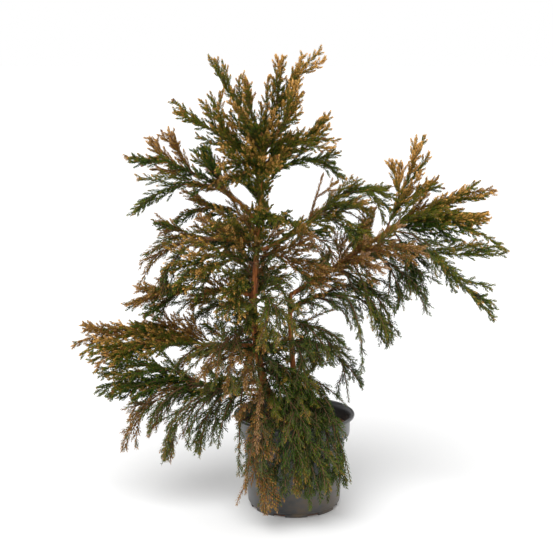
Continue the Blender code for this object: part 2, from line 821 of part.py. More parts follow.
def grow_left():
    """The tiers that reach out to the left, from the highest to the longest."""
    foliage("left_high", "left_high_bough", 1.0, PLUME, bearing=183, rise=17, reach=0.185, arch=0.015,
            sprays=((0.24, 34, 88, 0.098), (0.52, 34, 86, 0.057)), colour=GOLDEN_GREEN, seed=16)
    foliage("left_high_droop", "left_high_bough", 0.90, SPRAY, bearing=186, rise=-18, reach=0.185, arch=0.029,
            colour=OLIVE_GREEN, seed=35)
    foliage("left_high_green", "left_high_bough", 0.72, PLUME, bearing=208, rise=52, reach=0.115, bow=-0.016,
            sprays=((0.29, 36, 47, 0.075),), colour=OLIVE_GREEN, seed=38)
    foliage("left_second_top", "trunk", 0.588, SPRAY, bearing=158, rise=3, reach=0.195, arch=0.037, bow=0.018,
            sprays=((0.60, 34, 101, 0.045),), colour=OLIVE_GREEN, seed=15)
    foliage("left_second", "left_second_bough", 1.0, SPRAY, bearing=180, rise=24, reach=0.126, arch=-0.012,
            sprays=((0.47, 34, -17, 0.057),), colour=OLIVE_GREEN, seed=16)
    foliage("left_second_low", "left_second_bough", 0.74, WEEP, bearing=193, rise=-15, reach=0.180, arch=0.014,
            sprays=((0.32, 39, -109, 0.143),), colour=RUSSET_GREEN, seed=5)
    foliage("left_second_front", "trunk", 0.518, SPRAY, bearing=205, rise=2, reach=0.202, arch=0.021, bow=-0.013,
            sprays=((0.54, 34, -96, 0.094), (0.26, 38, -99, 0.130)), colour=GOLDEN_GREEN, seed=3)
    foliage("left_third", "left_third_bough", 1.0, SPRAY, bearing=168, rise=-12, reach=0.147, arch=0.018,
            sprays=((0.43, 34, 84, 0.046), (0.12, 34, -150, 0.150), (0.25, 50, -140, 0.110)),
            colour=OLIVE_GREEN, seed=32)
    foliage("left_long", "left_long_bough", 1.0, SPRAY, bearing=182, rise=0, reach=0.279, arch=0.037,
            sprays=((0.69, 33, 43, 0.065),), colour=OLIVE_GREEN, seed=30)
    foliage("left_long_low", "left_long_bough", 0.88, SPRAY, bearing=190, rise=-6, reach=0.257, arch=0.022,
            bow=-0.007, sprays=((0.60, 30, -165, 0.060),), colour=DEEP_GREEN, seed=13)
    foliage("left_low", "left_low_bough", 1.0, SPRAY, bearing=193, rise=10, reach=0.224, arch=0.025,
            sprays=((0.41, 34, -84, 0.138),), colour=DEEP_GREEN, seed=11)
    foliage("left_low_droop", "left_low_bough", 0.88, WEEP, bearing=196, rise=-35, reach=0.217, arch=0.041,
            sprays=((0.52, 35, 108, 0.062),), colour=DEEP_GREEN, seed=23)
    foliage("curtain_left", "curtain_bough", 1.0, WEEP, bearing=185, rise=-50, reach=0.195, arch=0.031,
            sprays=((0.60, 30, -138, 0.080),), colour=DEEP_GREEN, seed=15)
    foliage("curtain_right", "curtain_bough", 0.82, WEEP, bearing=182, rise=-61, reach=0.152, arch=0.016,
            sprays=((0.45, 34, -150, 0.085),), colour=DEEP_GREEN, seed=22)


def grow_right():
    """The arching bough and the long limb that carries the whole right side."""
    foliage("arch_top", "arch_bough", 1.0, SPRAY, bearing=9, rise=-13, reach=0.136, arch=0.062,
            sprays=((0.33, 35, 57, 0.035), (0.55, 35, 110, 0.056)), colour=OLIVE_GREEN, seed=4)
    foliage("arch_upright", "arch_bough", 0.76, PLUME, bearing=338, rise=73, reach=0.102,
            sprays=((0.52, 34, -99, 0.053),), colour=OLIVE_GREEN, seed=12)
    foliage("arch_under", "arch_bough", 0.88, WEEP, bearing=346, rise=-22, reach=0.131, arch=0.037,
            sprays=((0.62, 47, -52, 0.062),), colour=RUSSET_GREEN, seed=28)
    foliage("right_upright", "right_main_bough", 0.92, PLUME, bearing=7, rise=68, reach=0.210,
            sprays=((0.35, 34, 120, 0.076), (0.24, 34, -61, 0.104)), colour=GOLDEN_GREEN, seed=11)
    foliage("right_outer", "right_main_bough", 1.0, PLUME, bearing=8, rise=17, reach=0.222, arch=0.008,
            sprays=((0.27, 34, -44, 0.139), (0.43, 34, -125, 0.119)), colour=GOLDEN_GREEN, seed=26)
    foliage("right_lower", "right_main_bough", 0.84, SPRAY, bearing=2, rise=-7, reach=0.270, arch=-0.015,
            bow=0.014, sprays=((0.34, 34, -102, 0.220),), colour=OLIVE_GREEN, seed=22)
    foliage("right_under", "right_main_bough", 0.66, WEEP, bearing=343, rise=-41, reach=0.190, arch=0.027,
            sprays=((0.31, 39, -76, 0.102),), colour=DEEP_GREEN, seed=11)
    foliage("right_front", "right_main_bough", 0.34, SPRAY, bearing=320, rise=14, reach=0.256, arch=0.033,
            sprays=((0.22, 39, -58, 0.119),), colour=RUSSET_GREEN, seed=1)
    foliage("low_right", "right_low_bough", 1.0, WEEP, bearing=348, rise=-49, reach=0.141, arch=0.030,
            sprays=((0.24, 34, -106, 0.103),), colour=DEEP_GREEN, seed=21)
    foliage("low_middle", "second_stem", 0.72, WEEP, bearing=345, rise=-14, reach=0.120, arch=0.020,
            sprays=((0.30, 40, -90, 0.085),), colour=RUSSET_GREEN, seed=24)
    foliage("back_right", "back_right_bough", 1.0, WEEP, bearing=12, rise=-47, reach=0.146, arch=0.013,
            sprays=((0.41, 38, -78, 0.094),), colour=DEEP_GREEN, seed=13)
    foliage("foot_right", "second_stem", 0.37, WEEP, bearing=336, rise=-25, reach=0.132, arch=0.018,
            bow=0.011, colour=DEEP_GREEN, seed=10)


def grow_front_and_back():
    """The inner foliage, the skirt that hangs over the pot, and the side away from the photo."""
    foliage("low_reach", "trunk", 0.236, WEEP, bearing=166, rise=-36, reach=0.176, arch=0.042,
            sprays=((0.62, 34, -60, 0.060),), colour=DEEP_GREEN, seed=28)
    foliage("centre_left", "trunk", 0.385, WEEP, bearing=237, rise=-17, reach=0.208, arch=0.021,
            sprays=((0.25, 37, -119, 0.165),), colour=OLIVE_GREEN, seed=6)
    foliage("centre_front", "trunk", 0.430, WEEP, bearing=272, rise=-9, reach=0.239, arch=0.054, bow=-0.029,
            sprays=((0.43, 34, -137, 0.113),), colour=GOLDEN_GREEN, seed=15)
    foliage("centre_right", "trunk", 0.535, SPRAY, bearing=334, rise=-6, reach=0.170, arch=0.010,
            sprays=((0.35, 34, -95, 0.110), (0.30, 36, 60, 0.110)), colour=OLIVE_GREEN, seed=20)
    foliage("skirt_left", "trunk", 0.262, WEEP, bearing=272, rise=-57, reach=0.275, arch=0.106, bow=0.024,
            sprays=((0.52, 35, 132, 0.050), (0.68, 38, -111, 0.105)), colour=RUSSET_GREEN, seed=30)
    foliage("skirt_middle", "second_stem", 0.30, WEEP, bearing=275, rise=-33, reach=0.261, arch=0.085,
            bow=0.017, sprays=((0.76, 34, -98, 0.120), (0.62, 32, -140, 0.150)),
            colour=RUSSET_GREEN, seed=37)
    foliage("skirt_right", "second_stem", 0.24, WEEP, bearing=303, rise=-36, reach=0.245, arch=0.075,
            bow=0.020, sprays=((0.80, 34, -110, 0.100),), colour=DEEP_GREEN, seed=29)
    foliage("back_high", "trunk", 0.588, SPRAY, bearing=65, rise=-4, reach=0.190, arch=0.015,
            sprays=((0.35, 40, 175, 0.110),), colour=OLIVE_GREEN, seed=20)
    foliage("back_middle", "trunk", 0.500, SPRAY, bearing=108, rise=4, reach=0.260, arch=0.030,
            sprays=((0.35, 40, 170, 0.130), (0.45, 38, 5, 0.120)), colour=OLIVE_GREEN, seed=4)
    foliage("back_low_left", "trunk", 0.395, WEEP, bearing=126, rise=-8, reach=0.250, arch=0.030,
            sprays=((0.35, 38, 175, 0.130),), colour=DEEP_GREEN, seed=15)
    foliage("back_foot", "trunk", 0.300, WEEP, bearing=88, rise=-14, reach=0.230, arch=0.040,
            sprays=((0.40, 38, 178, 0.110), (0.45, 36, 0, 0.110)), colour=DEEP_GREEN, seed=12)


def make_foliage():
    """Every mass claims its leaders first, and then each fills its own space with side shoots."""
    grow_crown_top()
    grow_left()
    grow_right()
    grow_front_and_back()
    for name, habit, shoots, chance, colour in MASSES:
        grown = []
        for rank, shoot in enumerate(shoots):
            grown += side_shoots(name, rank, shoot.limb, habit, chance)
        fuse(name, shoots + grown, colour)


make_pot()
make_compost()
make_trunk()
make_second_stem()
make_boughs()
make_foliage()
bpy.data.collections.remove(spare)
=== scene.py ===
import math
import random

import bmesh
import bpy
import numpy as np
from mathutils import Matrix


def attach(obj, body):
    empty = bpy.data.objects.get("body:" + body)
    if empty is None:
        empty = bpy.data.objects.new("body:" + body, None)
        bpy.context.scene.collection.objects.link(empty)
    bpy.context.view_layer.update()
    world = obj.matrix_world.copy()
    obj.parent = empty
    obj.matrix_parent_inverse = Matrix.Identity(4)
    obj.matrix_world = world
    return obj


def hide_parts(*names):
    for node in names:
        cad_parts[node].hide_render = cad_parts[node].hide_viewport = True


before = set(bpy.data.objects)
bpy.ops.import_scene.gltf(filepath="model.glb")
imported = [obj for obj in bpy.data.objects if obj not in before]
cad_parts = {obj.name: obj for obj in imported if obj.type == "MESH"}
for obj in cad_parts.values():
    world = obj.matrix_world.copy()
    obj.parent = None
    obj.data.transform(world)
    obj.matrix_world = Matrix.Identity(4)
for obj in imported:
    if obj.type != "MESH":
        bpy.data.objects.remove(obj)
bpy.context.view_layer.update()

# Pot and compost
POT_HEIGHT = 0.1995
RIM_RADIUS = 0.1275
COLLAR_RADIUS = 0.1175
COLLAR_BOTTOM = 0.1600
WALL_TOP_RADIUS = 0.1065
WALL_TOP = 0.1500
WALL_FOOT_RADIUS = 0.0975
FOOT_RADIUS = 0.0930
FOOT_HEIGHT = 0.0080
SHELL = 0.0017
FLOOR_THICKNESS = 0.0026
POT_SIDES = 120
DRAIN_NOTCHES = 8
DRAIN_WIDTH = 0.026
DRAIN_HEIGHT = 0.0055
DRAIN_DEPTH = 0.009
DRAIN_BEARING = 295.0
DRAIN_OVERSHOOT = 0.002
POT_EDGE_ANGLE = 38
SOIL_LEVEL = 0.1730
SOIL_EDGE_DROP = 0.0030
SOIL_GAP = 0.0005
SOIL_RINGS = 40
SOIL_SIDES = 96
SOIL_WAVES = 24
SOIL_WAVE_HEIGHT = 0.0005
SOIL_WAVE_RATES = (40, 420)
SOIL_FINE_RATE = 120
SOIL_RADIUS = 0.115
CHIPS = 1500
CHIPS_RADIUS = 0.110
CHIP_HALF_LENGTH = (0.0012, 0.0042)
CHIP_HALF_WIDTH = (0.0008, 0.0022)
CHIP_HALF_HEIGHT = (0.0004, 0.0011)
CHIP_WEAR = (0.55, 1.1)
CHIP_TILT = 0.35
CHIP_LIFT = 0.0008
# Chip colours, and the share of the chips that has each
CHIP_TONES = {
    "dark_chip": (0.34, (0.070, 0.036, 0.022)),
    "red_chip": (0.34, (0.400, 0.165, 0.075)),
    "brown_chip": (0.20, (0.230, 0.120, 0.062)),
    "pale_chip": (0.12, (0.620, 0.420, 0.260)),
}

# Trunk and second stem
TRUNK_FOOT = (-0.014, -0.004)
TRUNK_LEAN = 0.074
TRUNK_LEAN_HEIGHT = 0.085
TRUNK_RETURN = 0.028
TRUNK_RETURN_START = 0.260
TRUNK_RETURN_HEIGHT = 0.340
TRUNK_RETURN_LIMIT = 1.1
TRUNK_TOP = 0.765
TRUNK_POINTS = 41
TRUNK_CROWDING = 1.15
TRUNK_FOOT_RADIUS = 0.0100
TRUNK_TIP_RADIUS = 0.0030
ROOT_FLARE = 0.0050
ROOT_FLARE_HEIGHT = 0.0180
STEM_FOOT = (0.016, 0.012)
STEM_FOOT_RADIUS = 0.0072
STEM_TIP_RADIUS = 0.0044
STEM_FLARE = 0.0030
BURIED = 0.006
STEM_SIDES = 28
BOUGH_SIDES = 18
BARK_STEP = 0.0022

# Growth
GOLDEN_ANGLE = 137.5
ROLL_PLAY = 15.0
VARIED = (0.85, 1.15)
LAST_BRANCHLET = 0.72
LAST_SPRIG = 0.97
TRIES = 5
WITHIN_STEP = (0.2, 0.8)
ROUND_UP_SHARE = 0.35
NEARLY_UPRIGHT = 0.05
PAST_SEAM = 1.3
CURVE_STEPS = 24
LEADER_STEPS = 4
SHOOT_STEPS = 6
CLOTHING_STEPS = 24

# Shoots: radii, how much of each is bare at its foot, and the shortest leader that branches
LEADER_RADIUS = 0.0022
LEADER_TIP = 0.0008
LEADER_BARE = 0.10
SPRAY_THICKNESS = 0.7
SPRAY_TIP = 0.0007
SPRAY_BARE = 0.06
BRANCHLET_RADIUS = 0.0013
SPRIG_RADIUS = 0.0009
SPROUT_RADIUS = 0.0012
SPROUT_SIZES = (0.7, 1.25)
SHOOT_TIP = 0.0006
SHOOT_BARE = 0.05
THICK_TWIG = 0.0011
BRANCHED_FROM = 0.045
CLOTHED_RADIUS = 1.25
BUD_RADIUS = 0.0012
BUD_TIP = 0.0008
BUD_BACK = 0.002
BUD_MIDDLE = 0.001
BUD_AHEAD = 0.004

# Side shoots are a little longer at their leader's foot, and end about level with its tip
FOOT_LENGTH = 1.10
TIP_SHARE = 0.75
TIP_ALLOWANCE = 0.009

# Tone, from 0 in a tint's shade to 1 in its light: lighter toward a tip and on shoots that point up; leaders
# and sprays carry painted shade
# Painted shade: how much darker a mass's leader and its sprays are than the shoots round them
INSIDE_PAINTED_SHADE = 0.10
SPRAY_PAINTED_SHADE = 0.06
TONE_TO_TIP = 0.16
TONE_OF_UPRIGHT = 0.12
TONE_LIFT = 0.03
TONE_PLAY = 0.09
SPROUT_TONE_PLAY = 0.06

# Needles: how they vary, how they shorten and close up over a shoot's last stretch, and their awl shape
NEEDLE_SIZES = (0.82, 1.12)
NEEDLE_ROLL_PLAY = 20
NEEDLE_SPREAD_PLAY = 4
TIP_STRETCH = 0.012
TIP_NEEDLE = 0.62
TIP_SPREAD = 0.60
NEEDLE_FLARE = 0.20
NEEDLE_CURVE = 0.22
WIDEST_AT = 0.45
KEEL = 0.35
NEEDLE_SEAT = 0.7
NEEDLE_SHADE = 0.04
NEEDLE_TONE_PLAY = 0.03
FEWEST_NEEDLES = 3

# What shoots keep clear of
NEEDLE_ROOM = 0.009
COLLAR_ROOM = 0.012
FLOOR_ROOM = 0.014
FRONT_REACH = -0.249

# Where the sky or the bare pot shows from the front, inside the crown and round it: across and up at the
# trunk's plane, and half-sizes
EYE = np.array((-0.037, -2.65, 0.98))
SKY_GAPS = (
    (0.011, 0.671, 0.056, 0.042),
    (-0.110, 0.663, 0.016, 0.020),
    (-0.163, 0.656, 0.026, 0.012),
    (0.119, 0.618, 0.012, 0.016),
    (0.171, 0.609, 0.008, 0.029),
    (-0.289, 0.494, 0.012, 0.021),
    (-0.256, 0.331, 0.013, 0.013),
    (0.085, 0.394, 0.024, 0.024),
    (0.070, 0.281, 0.030, 0.016),
    (0.051, 0.874, 0.030, 0.036),
    (-0.165, 0.882, 0.014, 0.024),
    (-0.276, 0.624, 0.033, 0.016),
    (-0.404, 0.425, 0.050, 0.015),
    (0.376, 0.634, 0.027, 0.011),
    (0.399, 0.501, 0.027, 0.024),
    (0.334, 0.439, 0.033, 0.018),
    (0.237, 0.414, 0.023, 0.024),
    (0.162, 0.106, 0.051, 0.158),
    (0.170, 0.253, 0.025, 0.030),
    (0.102, 0.205, 0.020, 0.024),
    (-0.153, 0.045, 0.030, 0.058),
    (-0.221, 0.077, 0.060, 0.018),
    (0.158, 0.718, 0.033, 0.016),
    (0.118, 0.242, 0.019, 0.015),
    (-0.124, 0.005, 0.019, 0.049),
    (-0.090, 0.022, 0.011, 0.044),
    (0.093, 0.016, 0.011, 0.040),
)


def unit(v):
    """A direction brought to length 1."""
    return v / np.linalg.norm(v)


def aim(bearing, rise):
    """Unit direction from a compass bearing (0 is +X, 90 is +Y) and a climb, in degrees."""
    b = math.radians(bearing)
    r = math.radians(rise)
    return np.array((math.cos(b) * math.cos(r), math.sin(b) * math.cos(r), math.sin(r)))


def bent(a, b, c, steps):
    """Points of an even bend from a to c that b pulls toward itself."""
    t = np.linspace(0, 1, steps + 1)[:, None]
    return a * (1 - t) ** 2 + b * (2 * t * (1 - t)) + c * t ** 2


def sweep(root, bearing, rise, reach, arch, bow):
    """A bent limb: it ends at reach, and its middle stands off the straight line by arch and bow."""
    chord = aim(bearing, rise) * reach
    side = unit(np.array((chord[1], -chord[0], 0.0)))
    up = unit(np.cross(side, chord))
    return bent(root, root + chord / 2 + up * (2 * arch) + side * (2 * bow), root + chord, CURVE_STEPS)


def turned(direction, fork, roll):
    """A direction that leaves another one at the fork angle: roll 0 is to its right, 90 above, -90 below."""
    side = np.cross(direction, (0, 0, 1))
    if np.linalg.norm(side) < NEARLY_UPRIGHT:
        side = np.array((1.0, 0, 0))
    side = unit(side)
    up = unit(np.cross(side, direction))
    f = math.radians(fork)
    r = math.radians(roll)
    return direction * math.cos(f) + (side * math.cos(r) + up * math.sin(r)) * math.sin(f)


class Path:
    """A tapering line that other things are placed along."""

    def __init__(self, points, foot, tip):
        self.points = np.asarray(points, float)
        self.foot = foot
        self.tip = tip
        steps = np.linalg.norm(np.diff(self.points, axis=0), axis=1)
        self.reached = np.concatenate(([0.0], np.cumsum(steps)))
        self.length = self.reached[-1]

    def at(self, fraction):
        d = np.atleast_1d(fraction) * self.length
        spots = np.stack([np.interp(d, self.reached, self.points[:, k]) for k in range(3)], axis=1)
        return spots if np.ndim(fraction) else spots[0]

    def along(self, fraction):
        """Unit tangents, eased from one stretch to the next."""
        steps = np.diff(self.points, axis=0)
        tangents = steps / np.linalg.norm(steps, axis=1)[:, None]
        middles = (self.reached[1:] + self.reached[:-1]) / 2
        d = np.atleast_1d(fraction) * self.length
        eased = np.stack([np.interp(d, middles, tangents[:, k]) for k in range(3)], axis=1)
        eased /= np.linalg.norm(eased, axis=1)[:, None]
        return eased if np.ndim(fraction) else eased[0]

    def radius(self, fraction):
        return self.foot + (self.tip - self.foot) * np.asarray(fraction)


def cut_back(points, distance):
    """A curve without its first stretch, where it is still inside what it grows from."""
    heading = unit(points[1] - points[0])
    far = np.linalg.norm(points - points[0], axis=1) > distance * PAST_SEAM
    return np.concatenate(([points[0] + heading * distance], points[far]))


# Limbs
LIMBS = {}


def trunk_centre(z):
    """The trunk's middle line: it leans out at the foot and comes back a little toward its top."""
    height = z - SOIL_LEVEL
    lean = TRUNK_LEAN * (1 - np.exp(-height / TRUNK_LEAN_HEIGHT))
    risen = np.clip((height - TRUNK_RETURN_START) / TRUNK_RETURN_HEIGHT, 0.0, TRUNK_RETURN_LIMIT)
    back = TRUNK_RETURN * risen
    return np.stack((TRUNK_FOOT[0] - lean + back, TRUNK_FOOT[1] + 0 * z, z), axis=1)


def root_of(parent, at):
    """Where on its parent a limb starts: a height for the trunk, a fraction of the length for any other."""
    limb = LIMBS[parent]
    fraction = np.interp(at, limb.points[:, 2], limb.reached) / limb.length if parent == "trunk" else at
    return fraction, limb.at(fraction)


def bough(name, parent, at, bearing, rise, reach, arch=0.0, bow=0.0, foot=0.0040, tip=0.0028):
    """A limb that starts just outside the skin of its parent."""
    fraction, root = root_of(parent, at)
    points = sweep(root, bearing, rise, reach, arch, bow)
    clear = LIMBS[parent].radius(fraction) + foot / 2
    LIMBS[name] = Path(cut_back(points, clear), foot, tip)
    LIMBS[name].seat = root


def make_limbs():
    """Trunk, second stem and boughs; the trunk's points crowd toward its foot."""
    steps = np.linspace(0, 1, TRUNK_POINTS) ** TRUNK_CROWDING
    heights = SOIL_LEVEL + (TRUNK_TOP - SOIL_LEVEL) * steps
    LIMBS["trunk"] = Path(trunk_centre(heights), TRUNK_FOOT_RADIUS, TRUNK_TIP_RADIUS)
    foot = np.array((*STEM_FOOT, SOIL_LEVEL))
    stem = sweep(foot, bearing=185, rise=85, reach=0.279, arch=-0.006, bow=0.020)
    LIMBS["second_stem"] = Path(stem, STEM_FOOT_RADIUS, STEM_TIP_RADIUS)
    bough("left_high_bough", "trunk", 0.602, bearing=172, rise=40, reach=0.126, arch=0.007)
    bough("left_second_bough", "trunk", 0.568, bearing=178, rise=2, reach=0.094)
    bough("left_third_bough", "trunk", 0.450, bearing=178, rise=6, reach=0.103, arch=0.006)
    bough("left_long_bough", "trunk", 0.345, bearing=168, rise=-2, reach=0.112, foot=0.0045, tip=0.0030)
    bough("left_low_bough", "trunk", 0.275, bearing=178, rise=-5, reach=0.132, arch=-0.012, foot=0.0045)
    bough("curtain_bough", "trunk", 0.250, bearing=194, rise=4, reach=0.094)
    bough("arch_bough", "trunk", 0.543, bearing=2, rise=32, reach=0.159, arch=-0.007, foot=0.0042)
    bough("right_main_bough", "second_stem", 1.0, bearing=355, rise=35, reach=0.258, arch=-0.004,
          bow=0.005, foot=0.0042, tip=0.0032)
    bough("right_low_bough", "second_stem", 0.86, bearing=350, rise=19, reach=0.123, arch=0.016, bow=0.009)
    bough("back_right_bough", "second_stem", 0.60, bearing=49, rise=-11, reach=0.095, arch=0.009)


# Foliage
class Habit:
    """How one part of the crown grows: its needles, its branchlets, and the short sprigs that clothe both.

    Spread is in degrees, step is how far apart needles stand, first is where side shoots begin, and gilded
    is how much lighter the needles get toward a shoot's tip."""

    def __init__(self, needle, spread, width, step, branchlet, sprig, curl, first, gilded):
        self.needle = needle
        self.spread = spread
        self.width = width
        self.step = step
        self.branchlet = branchlet
        self.sprig = sprig
        self.curl = curl
        self.first = first
        self.gilded = gilded


class Rank:
    """Shoots of one order: their length and spacing, how wide they fork, how they shorten and hang."""

    def __init__(self, length, spacing, fork, shortening, foot, last, hang=0.0):
        self.length = length
        self.spacing = spacing
        self.fork = fork
        self.shortening = shortening
        self.foot = foot
        self.last = last
        self.hang = hang


PLUME = Habit(needle=0.0080, spread=25, width=0.0026, step=0.00110, curl=0.15, first=0.08, gilded=0.52,
              branchlet=Rank(0.085, 0.023, 24, 0.35, BRANCHLET_RADIUS, LAST_BRANCHLET),
              sprig=Rank(0.025, 0.0064, 28, 0.55, SPRIG_RADIUS, LAST_SPRIG))
SPRAY = Habit(needle=0.0083, spread=29, width=0.0026, step=0.00132, curl=-0.12, first=0.08, gilded=0.44,
              branchlet=Rank(0.095, 0.022, 26, 0.35, BRANCHLET_RADIUS, LAST_BRANCHLET),
              sprig=Rank(0.028, 0.0085, 28, 0.50, SPRIG_RADIUS, LAST_SPRIG))
WEEP = Habit(needle=0.0090, spread=37, width=0.0019, step=0.00150, curl=-0.30, first=0.08, gilded=0.36,
             branchlet=Rank(0.102, 0.0235, 30, 0.30, BRANCHLET_RADIUS, LAST_BRANCHLET, hang=0.35),
             sprig=Rank(0.025, 0.0118, 28, 0.35, SPRIG_RADIUS, LAST_SPRIG, hang=0.12))
WAND = Habit(needle=0.0080, spread=25, width=0.0026, step=0.00110, curl=0.05, first=0.12, gilded=0.52,
             branchlet=None, sprig=Rank(0.024, 0.0075, 28, 0.45, SPRIG_RADIUS, LAST_SPRIG))
FROND = Habit(needle=0.0084, spread=36, width=0.0019, step=0.00135, curl=-0.30, first=0.10, gilded=0.38,
              branchlet=None, sprig=Rank(0.021, 0.0090, 33, 0.45, SPRIG_RADIUS, LAST_SPRIG, hang=0.08))
CLOTHING = Habit(needle=0.0110, spread=17, width=0.0017, step=0.00042, curl=0.0, first=0.0, gilded=0.0,
                 branchlet=None, sprig=None)
BUDS = Habit(needle=0.0055, spread=52, width=0.0030, step=0.00075, curl=0.0, first=0.0, gilded=0.2,
             branchlet=None, sprig=None)

# Needle colours, and the runs of them that a spray takes from its shade to its light
COLOURS = {
    "deep_green": (0.016, 0.030, 0.004),
    "leaf_green": (0.052, 0.100, 0.009),
    "olive": (0.146, 0.150, 0.012),
    "dusky_green": (0.080, 0.112, 0.025),
    "bronze": (0.320, 0.180, 0.030),
    "russet": (0.250, 0.095, 0.020),
    "rose_brown": (0.430, 0.240, 0.110),
    "tan": (0.590, 0.310, 0.075),
    "gold": (0.800, 0.450, 0.130),
    "bud_brown": (0.250, 0.110, 0.035),
}
SHADES = list(COLOURS)
TINTS = {
    "golden": ("deep_green", "leaf_green", "olive", "bronze", "tan", "gold"),
    "olive": ("deep_green", "leaf_green", "olive", "olive", "bronze", "tan"),
    "bronze": ("deep_green", "olive", "russet", "bronze", "rose_brown", "tan"),
    "russet": ("deep_green", "dusky_green", "russet", "bronze", "rose_brown", "rose_brown"),
    "rose": ("dusky_green", "russet", "bronze", "rose_brown", "rose_brown", "rose_brown"),
    "green": ("deep_green", "deep_green", "leaf_green", "leaf_green", "olive", "bronze"),
    "dusky": ("deep_green", "dusky_green", "dusky_green", "olive", "bronze", "bronze"),
    "buds": ("bud_brown", "bud_brown", "bud_brown", "bud_brown", "bronze", "tan"),
}
PARTNERS = {"golden": "olive", "olive": "golden", "bronze": "green", "russet": "dusky", "green": "olive",
            "dusky": "green", "rose": "dusky"}
PARTNER_SHARE = 0.30
BUDDED_SHARE = 0.035


class Shoot:
    """One needled shoot: its path, where its needles start, and which of its tint's colours they take."""

    def __init__(self, points, foot, tip, habit, bare, tint, tone):
        self.path = Path(points, foot, tip)
        self.habit = habit
        self.bare = bare
        self.tint = tint
        self.tone = tone


def shoot_points(root, direction, length, curl):
    """A shoot that ends in a direction from its root, and bows up or hangs on the way by its curl."""
    knee = root + unit(direction - np.array((0, 0, curl))) * (length * 0.5)
    return bent(root, knee, root + direction * length, SHOOT_STEPS)


def in_open_sky(points):
    """True where a shoot would cross one of the gaps, seen from the front."""
    t = EYE[1] / (EYE[1] - points[1:, 1])
    x = EYE[0] + (points[1:, 0] - EYE[0]) * t
    z = EYE[2] + (points[1:, 2] - EYE[2]) * t
    for gap_x, gap_z, half_x, half_z in SKY_GAPS:
        if np.any(((x - gap_x) / half_x) ** 2 + ((z - gap_z) / half_z) ** 2 < 1.0):
            return True
    return False


def in_pot_or_ground(points):
    """True where needles would reach the pot's wall, the compost or the floor, or too far forward."""
    out = np.hypot(points[:, 0], points[:, 1])
    z = points[:, 2]
    wall = np.where(z > WALL_TOP, RIM_RADIUS, WALL_TOP_RADIUS) + NEEDLE_ROOM
    inside = (out < COLLAR_RADIUS - COLLAR_ROOM) & (z > SOIL_LEVEL + NEEDLE_ROOM)
    at_wall = (z < POT_HEIGHT + NEEDLE_ROOM / 2) & (out < wall) & ~inside
    return np.any((z < FLOOR_ROOM) | (points[:, 1] < FRONT_REACH) | at_wall)


def side_shoots(parent, rank, chance):
    """The growth rule: shoots wind up a leader, a golden angle apart, shorter toward its tip."""
    habit = parent.habit
    axis = parent.path
    span = rank.last - habit.first
    count = int(axis.length * span / rank.spacing + ROUND_UP_SHARE)
    roll = chance.uniform(0, 360)
    shoots = []
    for k in range(count):
        f = habit.first + span * (k + chance.uniform(*WITHIN_STEP)) / count
        left = axis.length * (1 - f)
        length = rank.length * (FOOT_LENGTH - rank.shortening * f) * chance.uniform(*VARIED)
        length = min(length, TIP_SHARE * left + TIP_ALLOWANCE)
        for attempt in range(TRIES):
            roll = roll + GOLDEN_ANGLE + chance.uniform(-ROLL_PLAY, ROLL_PLAY)
            direction = turned(axis.along(f), rank.fork * chance.uniform(*VARIED), roll)
            direction = unit(direction - np.array((0, 0, rank.hang)))
            points = shoot_points(axis.at(f), direction, length, habit.curl)
            if in_open_sky(points) or in_pot_or_ground(points):
                continue
            tone = parent.tone + TONE_TO_TIP * (f - 0.5) + TONE_OF_UPRIGHT * direction[2]
            tone = tone + chance.gauss(TONE_LIFT, TONE_PLAY)
            shoots.append(Shoot(points, rank.foot, SHOOT_TIP, habit, SHOOT_BARE, parent.tint, tone))
            break
    return shoots


def bud_on(sprig):
    """The brown bud that some sprigs end in."""
    tip = sprig.path.points[-1]
    ahead = unit(tip - sprig.path.points[-2])
    points = np.array((tip - ahead * BUD_BACK, tip + ahead * BUD_MIDDLE, tip + ahead * BUD_AHEAD))
    return Shoot(points, BUD_RADIUS, BUD_TIP, BUDS, 0.0, "buds", 0.5)


def clothed(leader, chance):
    """A leader with its branchlets, and the sprigs on all of them."""
    axes = [leader]
    if leader.habit.branchlet and leader.path.length > BRANCHED_FROM:
        for branchlet in side_shoots(leader, leader.habit.branchlet, chance):
            if chance.random() < PARTNER_SHARE:
                branchlet.tint = PARTNERS[leader.tint]
            axes.append(branchlet)
    grown = list(axes)
    for axis in axes:
        for sprig in side_shoots(axis, leader.habit.sprig, chance):
            grown.append(sprig)
            if leader.habit is PLUME and chance.random() < BUDDED_SHARE:
                grown.append(bud_on(sprig))
    return grown


# Shoots by the mass that they belong to
SHOOTS = {}


def foliage(name, parent, at, habit, bearing, rise, reach, arch=0.0, bow=0.0, sprays=(),
            tint="olive", tone=0.42, seed=1):
    """A stem on its parent, sprays that fork from it, and side shoots by the growth rule, for one mass.

    Each spray is the fraction up the stem, the fork and the roll in degrees, and the length."""
    fraction, root = root_of(parent, at)
    points = cut_back(sweep(root, bearing, rise, reach, arch, bow), LIMBS[parent].radius(fraction))
    corners = Path(points, 0, 0).at(np.linspace(0, 1, LEADER_STEPS + 1))
    straight = Path(corners, 0, 0)
    chance = random.Random(seed)
    whole = np.concatenate(([root], points))
    # The leader inside the mass takes a darker tone, as painted shade
    stem = Shoot(whole, LEADER_RADIUS, LEADER_TIP, habit, LEADER_BARE, tint, tone - INSIDE_PAINTED_SHADE)
    grown = clothed(stem, chance)
    for f, fork, roll, length in sprays:
        direction = turned(straight.along(f), fork, roll)
        path = shoot_points(straight.at(f), direction, length, habit.curl)
        # The sprays take a darker tone too, as painted shade
        spray = Shoot(path, LEADER_RADIUS * SPRAY_THICKNESS, SPRAY_TIP, habit, SPRAY_BARE, tint,
                      tone - SPRAY_PAINTED_SHADE)
        grown += clothed(spray, chance)
    SHOOTS.setdefault(name, []).extend(grown)


